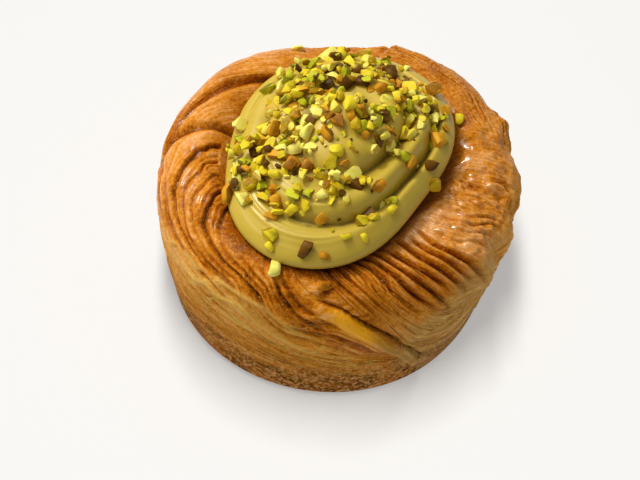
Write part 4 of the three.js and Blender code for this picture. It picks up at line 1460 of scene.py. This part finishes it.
paste = Finish("cream")
cloudy, specks = (paste.noise(paste.place(), *noise) for noise in (CREAM_CLOUDS, CREAM_SPECKS))
in_crease = paste.maths("POWER", paste.attribute("valley"), CREASE_SHADE_POWER)
crease_shade = paste.maths("MULTIPLY", in_crease, CREASE_SHADE_STRENGTH)
cream_tint = paste.mixed(crease_shade, paste.ramp(cloudy, *CREAM_RAMP), linear(*CREASE_SHADE_TINT))
paste.put(paste.surface.inputs["Base Color"], cream_tint)
paste.put(paste.surface.inputs["Roughness"], paste.ranged(cloudy, *CREAM_ROUGHNESS_RANGE, *CREAM_ROUGHNESS))
paste.bumped(specks, CREAM_BUMP, CREAM_BUMP_HEIGHT * MM)
set_inputs(paste.surface, {
    "Specular Tint": (1.0, 0.9, 0.7, 1),
    "Subsurface Weight": 0.15,
    "Subsurface Radius": (1.0, 0.8, 0.3),
    "Subsurface Scale": 1.5 * MM,
})
print("cream finish:", len(paste.tree.nodes), "nodes")

# %% Grow the cream
cream_settings = {**CREAM_SIZES, "Finish": paste.material}
cream_mesh = grown("cream_swirl", bpy.data.meshes.new("empty"), swirl_tree, cream_settings)
shell = bmesh.new()
shell.from_mesh(cream_mesh)
bmesh.ops.recalc_face_normals(shell, faces=shell.faces)
print("cream:", len(shell.faces), "faces, open edges:", sum(e.is_boundary for e in shell.edges))
shell.to_mesh(cream_mesh)
shell.free()
cream = add_object("cream_swirl", cream_mesh)

# %% [markdown]
# ## The chopped nuts
#
# Chopped pistachio is angular: flat breaks inside, and a curved, darker skin where the nut's outside is
# left. A few crumb shapes are made by stretching a skin over a handful of seeded points (a convex hull).
# A tree then sets them on the cream, one instance on each point, standing square to the cream, spun and
# tilted by numbers that the points carry. The places are drawn from the solid's seed, largest chip first,
# but with many more and smaller chips, which may lie on one another.

# %% Crumb shapes
CRUMB_SHAPES, CRUMB_POINTS, CRUMB_SEED = 10, 24, 100
CRUMB_BLUNT, CRUMB_ROUGH, CRUMB_TAPER = (0.55, 0.9), (0.84, 1.06), (-0.5, 0.5)
CRUMB_CREASE = math.radians(44)
SKIN_FACING = 0.6
crumbs = bpy.data.collections.new("crumb shapes")


def crumb_mesh(index):
    """A broken crumb about 2 across, blunt like a worn block, with its outer skin marked."""
    draw = np.random.default_rng(CRUMB_SEED + index)
    points = draw.normal(size=(CRUMB_POINTS, 3))
    points /= np.linalg.norm(points, axis=1)[:, None]
    points = np.sign(points) * np.abs(points) ** draw.uniform(*CRUMB_BLUNT)
    points *= draw.uniform(*CRUMB_ROUGH, size=(CRUMB_POINTS, 1))
    points[:, 1:] *= 1 + draw.uniform(*CRUMB_TAPER) * points[:, :1]
    shape = bmesh.new()
    for point in points:
        shape.verts.new(point)
    bmesh.ops.convex_hull(shape, input=shape.verts)
    bmesh.ops.delete(shape, geom=[v for v in shape.verts if not v.link_faces], context="VERTS")
    bmesh.ops.recalc_face_normals(shape, faces=shape.faces)
    mesh = bpy.data.meshes.new(f"crumb_{index}")
    shape.to_mesh(mesh)
    shape.free()
    mesh.shade_smooth()
    mesh.set_sharp_from_angle(angle=CRUMB_CREASE)
    outside = Vector(draw.normal(size=3)).normalized()
    marks = mesh.attributes.new("skin", "FLOAT", "FACE")
    marks.data.foreach_set("value", [float(face.normal.dot(outside) > SKIN_FACING) for face in mesh.polygons])
    return mesh


for crumb_index in range(CRUMB_SHAPES):
    crumbs.objects.link(bpy.data.objects.new(f"crumb_{crumb_index:02d}", crumb_mesh(crumb_index)))

# %% The cream's top as a rule
FACING_TURN, FACING_STEP = 2, 0.02


def cream_top(angle, share_out):
    """A point on the swirl, by the same rule as the tree's but without its fine strokes."""
    s = CREAM_SIZES

    def swung(name, folds=1):
        return s[name] * math.cos(folds * math.radians(angle - s[name + " Towards"]))

    outline_here = s["Radius"] + swung("Offset") + swung("Oval", 2) + swung("Corners", 3)
    edge_here = s["Edge Height"] + swung("Edge Sway")
    turned = ((share_out**2 - s["Groove Start"]) / s["Groove Pitch"] - (angle % 360) / 360) % 1
    depth = 1 - max(0, math.sin(math.pi * turned ** s["Groove Skew"])) ** s["Groove Sharpness"]
    depth *= 1 - s["Groove Fade"] * math.cos(math.radians(angle - s["Groove Fade At"]) / 2) ** 2
    depth *= float(within(share_out, GROOVE_FROM, GROOVE_TO, GROOVE_EASE))
    cone_here = 1 - s["Slope Share"] * share_out ** s["Slope Power"]
    rounding = math.sqrt(max(0, 1 - share_out ** s["Edge Round"]))
    peak_here = s["Peak Height"] * math.exp(-((share_out / s["Peak Share"]) ** 2))
    top = s["Tip Height"] - (s["Tip Height"] - edge_here) * (1 - cone_here * rounding) + peak_here
    r, tip = outline_here * share_out, (1 - share_out) ** 2
    return Vector((
        r * math.cos(math.radians(angle)) + s["Tip Lean X"] * tip,
        r * math.sin(math.radians(angle)) + s["Tip Lean Y"] * tip,
        top - s["Groove Depth"] * depth,
    ))


def facing(surface, angle, along):
    """The direction square to a surface at a place."""
    across = surface(angle + FACING_TURN, along) - surface(angle - FACING_TURN, along)
    down = surface(angle, along + FACING_STEP) - surface(angle, along - FACING_STEP)
    return down.cross(across).normalized()


print("cream's tip at", [round(distance, 1) for distance in cream_top(0, 0)], "mm")

# %% Where the chips lie
CHIP_SEED, CHIP_COUNT = 20417, 470
CHIP_LARGEST, CHIP_SMALLEST, CHIP_POWER = 5.2, 0.9, 1.05
CHIP_DRIFTS = (
    # x, y, half length, half breadth, turned, density
    (2, 21, 14, 7, 5, 1.0),
    (17, 17, 9, 6, -40, 0.85),
    (25, 11, 5, 5, 0, 0.7),
    (-10, 13, 7, 6, 40, 0.6),
    (-5, 2, 6, 5, 0, 0.7),
    (12, 3, 7, 4, 0, 0.6),
    (8, -4, 7, 4, 0, 0.22),
    (2, -2, 6, 4, 0, 0.4),
    (-13, -12, 11, 7, -25, 1.0),
    (0, -17, 7, 3.5, -5, 0.9),
    (-24, -6, 4, 6, 0, 0.8),
    (-15, -2, 7, 4, 0, 0.4),
    (-10, -22, 6, 3, 0, 0.5),
)
CHIP_SCATTER, CHIP_SPACING, CHIP_EDGE = 0.004, 0.3, 0.93
PILED_FROM, PILED_SPACING, PILE_LIFT = 130, 0.17, 0.26
DRAW_FACTOR, DRAW_MODULUS = 16807, 2147483647


def drift_density(x, y):
    """How likely a chip is to stay where it fell."""
    total = CHIP_SCATTER
    for cx, cy, length, breadth, turned, strength in CHIP_DRIFTS:
        c, s = math.cos(math.radians(turned)), math.sin(math.radians(turned))
        along = ((x - cx) * c + (y - cy) * s) / length
        across = (-(x - cx) * s + (y - cy) * c) / breadth
        total += strength * math.exp(-(along * along + across * across))
    return min(1, total)


def seeded(seed):
    """Numbers from 0 to 1 without end, the same ones for the same seed."""
    state = seed
    while True:
        state = state * DRAW_FACTOR % DRAW_MODULUS
        yield state / DRAW_MODULUS


def strewn_chips():
    """Places for the chips on the cream, largest first; later ones may rest on those that lie there."""
    draws = seeded(CHIP_SEED)
    strewn = []
    while len(strewn) < CHIP_COUNT:
        angle, out_there, chance = 360 * next(draws), CHIP_EDGE * math.sqrt(next(draws)), next(draws)
        place = cream_top(angle, out_there)
        if chance > drift_density(place.x, place.y):
            continue
        small = (len(strewn) / CHIP_COUNT) ** CHIP_POWER
        length = CHIP_LARGEST + (CHIP_SMALLEST - CHIP_LARGEST) * small
        spacing = CHIP_SPACING if len(strewn) < PILED_FROM else PILED_SPACING
        room = [((chip["place"] - place).length, chip) for chip in strewn]
        if any(away < spacing * (chip["length"] + length) for away, chip in room):
            continue
        under = [chip for away, chip in room if away < CHIP_SPACING * (chip["length"] + length)]
        raised = max((chip["raised"] + PILE_LIFT * chip["length"] for chip in under), default=0)
        spin, tilt, shape = next(draws), next(draws) - 0.5, next(draws)
        strewn.append(dict(
            place=place, facing=facing(cream_top, angle, out_there),
            length=length, spin=spin, tilt=tilt, shape=shape, raised=raised,
        ))
    return strewn


chips = strewn_chips()
print("chips on the cream:", len(chips), "of them piled:", sum(chip["raised"] > 0 for chip in chips))

# %% Chips laid one by one
LONE_TILT = 0.1
LONE_CHIPS = (
    # angle, share of the way out, length, spin, shape, kind
    (256, 0.92, 5.6, 0.16, 0.25, "brown_nuts"),
    (264, 0.955, 3.2, 0.4, 0.5, "amber_nuts"),
    (338, 1.0, 4.6, 0.1, 0.9, "yellow_nuts"),
    (3, 0.87, 5.2, 0.0, 0.8, "amber_nuts"),
    (345, 0.9, 4.2, 0.7, 0.7, "brown_nuts"),
    (283, 0.80, 4.2, 0.3, 0.9, "yellow_nuts"),
    (290, 0.83, 3.4, 0.1, 0.6, "yellow_nuts"),
    (273, 0.87, 3.2, 0.55, 0.2, "yellow_nuts"),
    (282, 0.92, 2.8, 0.3, 0.4, "yellow_nuts"),
    (307, 0.85, 2.8, 0.2, 0.5, "green_nuts"),
    (302, 0.88, 3.2, 0.6, 0.6, "yellow_nuts"),
    (239, 0.91, 4.8, 0.05, 0.7, "yellow_nuts"),
    (241, 0.96, 3.2, 0.3, 0.4, "yellow_nuts"),
    (207, 0.97, 6.0, 0.2, 0.3, "amber_nuts"),
    (216, 0.89, 4.8, 0.0, 0.8, "pale_nuts"),
    (95, 0.89, 7.0, 0.05, 0.5, "pale_nuts"),
    (88, 0.91, 4.4, 0.3, 0.5, "pale_nuts"),
    (336, 0.74, 4.2, 0.2, 0.6, "amber_nuts"),
)
DOUGH_CHIPS = (
    # angle, reach, length, spin in degrees, tilt, shape, kind
    (106, 4, 3.8, 10, 0, 0.3, "pale_nuts"),
    (245.2, 2.0, 6.6, 262, 0.1, 0.13, "pale_nuts"),
    (24, -1.5, 3.8, 70, 0, 0.6, "yellow_nuts"),
)


def dough_top(angle, reach):
    """A point on the dough with its folds."""
    points, _ = dough_surface(np.array([float(angle)]), np.array([float(reach)]))
    return Vector(points[0])


def plain_top(angle, reach):
    """A point on the dough without its folds."""
    r, z = body(float(angle), float(reach))
    return Vector((r * math.cos(math.radians(angle)), r * math.sin(math.radians(angle)), z))


def lay(surface, square_to, angle, along, length, spin, tilt, shape, kind):
    """Adds a chip at a place on one surface, square to another."""
    chips.append(dict(
        place=surface(angle, along), facing=facing(square_to, angle, along), length=length,
        spin=spin, tilt=tilt, shape=shape, raised=0, kind=kind,
    ))


for angle, out_there, length, spin, shape, kind in LONE_CHIPS:
    lay(cream_top, cream_top, angle, out_there, length, spin, LONE_TILT, shape, kind)
for angle, reach, length, spin, tilt, shape, kind in DOUGH_CHIPS:
    lay(dough_top, plain_top, angle, reach, length, spin / 360, tilt, shape, kind)
print("chips laid one by one:", len(LONE_CHIPS), "on the cream,", len(DOUGH_CHIPS), "on the dough")

# %% The scatter tree
scatter_tree, scatter_in, scatter_out = new_tree("chips on points", ("Scale",))
scatter_tree.interface.new_socket("Shapes", in_out="INPUT", socket_type="NodeSocketCollection")
nodes = scatter_tree.nodes


def carried(name, kind):
    """What the points carry under a name."""
    node = nodes.new("GeometryNodeInputNamedAttribute")
    node.data_type = kind
    set_inputs(node, {"Name": name})
    return node.outputs["Attribute"]


shapes = nodes.new("GeometryNodeCollectionInfo")
set_inputs(shapes, {"Separate Children": True, "Reset Children": True})
stand = nodes.new("FunctionNodeAlignRotationToVector")
stand.axis = "Z"
spin_node = nodes.new("FunctionNodeRotateRotation")
spin_node.rotation_space = "LOCAL"
euler = nodes.new("FunctionNodeEulerToRotation")
scaled = nodes.new("ShaderNodeVectorMath")
scaled.operation = "SCALE"
instances = nodes.new("GeometryNodeInstanceOnPoints")
set_inputs(instances, {"Pick Instance": True})
realized = nodes.new("GeometryNodeRealizeInstances")
painted = nodes.new("GeometryNodeSetMaterial")
for source, slot in (
    (scatter_in.outputs["Shapes"], shapes.inputs["Collection"]),
    (carried("facing", "FLOAT_VECTOR"), stand.inputs["Vector"]),
    (carried("turns", "FLOAT_VECTOR"), euler.inputs["Euler"]),
    (stand.outputs["Rotation"], spin_node.inputs["Rotation"]),
    (euler.outputs["Rotation"], spin_node.inputs["Rotate By"]),
    (carried("size", "FLOAT_VECTOR"), scaled.inputs[0]),
    (scatter_in.outputs["Scale"], scaled.inputs["Scale"]),
    (scatter_in.outputs["Geometry"], instances.inputs["Points"]),
    (shapes.outputs["Instances"], instances.inputs["Instance"]),
    (carried("shape", "INT"), instances.inputs["Instance Index"]),
    (spin_node.outputs["Rotation"], instances.inputs["Rotation"]),
    (scaled.outputs["Vector"], instances.inputs["Scale"]),
    (instances.outputs["Instances"], realized.inputs["Geometry"]),
    (realized.outputs["Geometry"], painted.inputs["Geometry"]),
    (scatter_in.outputs["Finish"], painted.inputs["Material"]),
    (painted.outputs["Geometry"], scatter_out.inputs["Geometry"]),
):
    scatter_tree.links.new(source, slot)
print("scatter tree nodes:", len(nodes))

# %% [markdown]
# ## The nuts' finish
#
# Chopped pistachio shows many tints, from pale flesh to brown skin. Each of five kinds is one material on
# one piece. Within a kind, a number that every chip carries and a fine mottle change the tone, and faces
# marked as skin take the skin's darker tint. A material for each chip would be far more to keep in order.

# %% Nut finishes
NUT_KINDS = {
    # kind: share, flesh, edge, skin
    "pale_nuts": (0.20, (244, 234, 116), (226, 206, 52), (196, 150, 40)),
    "yellow_nuts": (0.43, (234, 212, 44), (186, 150, 8), (150, 102, 14)),
    "green_nuts": (0.12, (200, 200, 38), (152, 146, 10), (108, 90, 18)),
    "amber_nuts": (0.17, (222, 160, 34), (176, 110, 8), (126, 76, 12)),
    "brown_nuts": (0.07, (112, 72, 16), (76, 46, 5), (56, 38, 8)),
}
MOTTLE_NOISE, MOTTLE_WEIGHT = (420.0, 3.0), 1.7
TONE_WEIGHT, TONE_START = 0.8, -0.95
SKIN_STRENGTH = 0.8
NUT_NOISE, NUT_BUMP, NUT_BUMP_HEIGHT = (1600.0, 2.0), 0.3, 0.25


def nut_finish(name, flesh, edge_tint, skin_tint):
    """Nut flesh that turns towards its darker edge tint in mottles and from chip to chip, with skin where a
    face has it.
    """
    nut = Finish(name)
    mottle = nut.noise(nut.place(), *MOTTLE_NOISE)
    tone = nut.maths("MULTIPLY_ADD", nut.attribute("tone"), TONE_WEIGHT, TONE_START)
    amount = nut.ranged(nut.maths("MULTIPLY_ADD", mottle, MOTTLE_WEIGHT, tone), 0.0, 1.0)
    nut_tint = nut.mixed(amount, linear(*flesh), linear(*edge_tint))
    skinned = nut.maths("MULTIPLY", nut.attribute("skin"), SKIN_STRENGTH)
    nut.put(nut.surface.inputs["Base Color"], nut.mixed(skinned, nut_tint, linear(*skin_tint)))
    nut.bumped(nut.noise(nut.place(), *NUT_NOISE), NUT_BUMP, NUT_BUMP_HEIGHT * MM)
    set_inputs(nut.surface, {
        "Roughness": 0.45,
        "Specular IOR Level": 0.2,
        "Specular Tint": (1.0, 0.88, 0.5, 1),
        "Subsurface Weight": 0.1,
        "Subsurface Scale": 0.8 * MM,
    })
    return nut.material


print("shares of the kinds:", {kind: facts[0] for kind, facts in NUT_KINDS.items()})

# %% How each chip lies
CHIP_BREADTH, CHIP_HEIGHT, CHIP_SUNK = (0.6, 0.3), (0.34, 0.36), 0.2
CHIP_ROLL, CHIP_PITCH = 1.2, 0.8
FLAKE_SHARE, FLAKE_HEIGHT = 0.16, 0.13
# Large factors whose products, less their whole part, mix one drawn number into another.
FLAKE_MIX, SHAPE_MIX, TONE_MIX, KIND_TILT_MIX, KIND_SHAPE_MIX = 89.3, 997, 7.3, 631.7, 17.3


def chip_size(chip):
    """Half length, half breadth and half height of a chip; some are thin flakes."""
    half_length, shape = chip["length"] / 2, chip["shape"]
    breadth, tallness = (least + more * shape for least, more in (CHIP_BREADTH, CHIP_HEIGHT))
    if shape * FLAKE_MIX % 1 < FLAKE_SHARE:
        tallness = FLAKE_HEIGHT
    return Vector((half_length, half_length * breadth, half_length * tallness))


def chip_turns(chip):
    """Roll, pitch and spin of a chip about its own middle."""
    return CHIP_ROLL * chip["tilt"], CHIP_PITCH * (chip["shape"] - 0.5), TURN * chip["spin"]


def chip_place(chip):
    """Where a chip's middle is, with the chip sunk a little into what it lies on."""
    rest = chip_size(chip).z * (1 - 2 * CHIP_SUNK) + chip["raised"]
    return (chip["place"] + chip["facing"] * rest) * MM


def kind_of(chip):
    """Which kind a chip is: the digits of its tilt and shape decide, so that kinds are well mixed."""
    if "kind" in chip:
        return chip["kind"]
    number = (abs(chip["tilt"]) * KIND_TILT_MIX + chip["shape"] * KIND_SHAPE_MIX) % 1
    so_far = 0
    for kind, (kind_share, *_) in NUT_KINDS.items():
        so_far += kind_share
        if number <= so_far:
            return kind
    return kind


print("first chip:", [round(2 * half_size, 1) for half_size in chip_size(chips[0])], "mm")

# %% Strew the chips
def chip_points(name, some_chips):
    """A mesh of loose points, one for each chip, that carry how it lies."""
    mesh = bpy.data.meshes.new(name)
    mesh.from_pydata([chip_place(chip) for chip in some_chips], [], [])
    for label, kind, key, value_of in (
        ("facing", "FLOAT_VECTOR", "vector", lambda chip: chip["facing"]),
        ("turns", "FLOAT_VECTOR", "vector", chip_turns),
        ("size", "FLOAT_VECTOR", "vector", chip_size),
        ("shape", "INT", "value", lambda chip: int(chip["shape"] * SHAPE_MIX) % CRUMB_SHAPES),
        ("tone", "FLOAT", "value", lambda chip: chip["spin"] * TONE_MIX % 1),
    ):
        carried_here = mesh.attributes.new(label, kind, "POINT")
        carried_here.data.foreach_set(key, np.array([value_of(chip) for chip in some_chips]).ravel())
    return mesh


nut_pieces = []
for kind, (_, *tints) in NUT_KINDS.items():
    some = [chip for chip in chips if kind_of(chip) == kind]
    settings = {"Scale": MM, "Shapes": crumbs, "Finish": nut_finish(kind, *tints)}
    nut_mesh = grown(kind, chip_points(kind + "_points", some), scatter_tree, settings)
    nut_pieces.append(add_object(kind, nut_mesh))
    print(kind, len(some), "chips,", len(nut_mesh.polygons), "faces")
for crumb in list(crumbs.objects):
    bpy.data.objects.remove(crumb)
bpy.data.collections.remove(crumbs)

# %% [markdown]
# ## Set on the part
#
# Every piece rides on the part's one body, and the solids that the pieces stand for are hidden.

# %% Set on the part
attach(pastry, "root")
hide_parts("pastry")
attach(cream, "root")
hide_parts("cream")
for piece in nut_pieces:
    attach(piece, "root")
    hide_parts("cream")
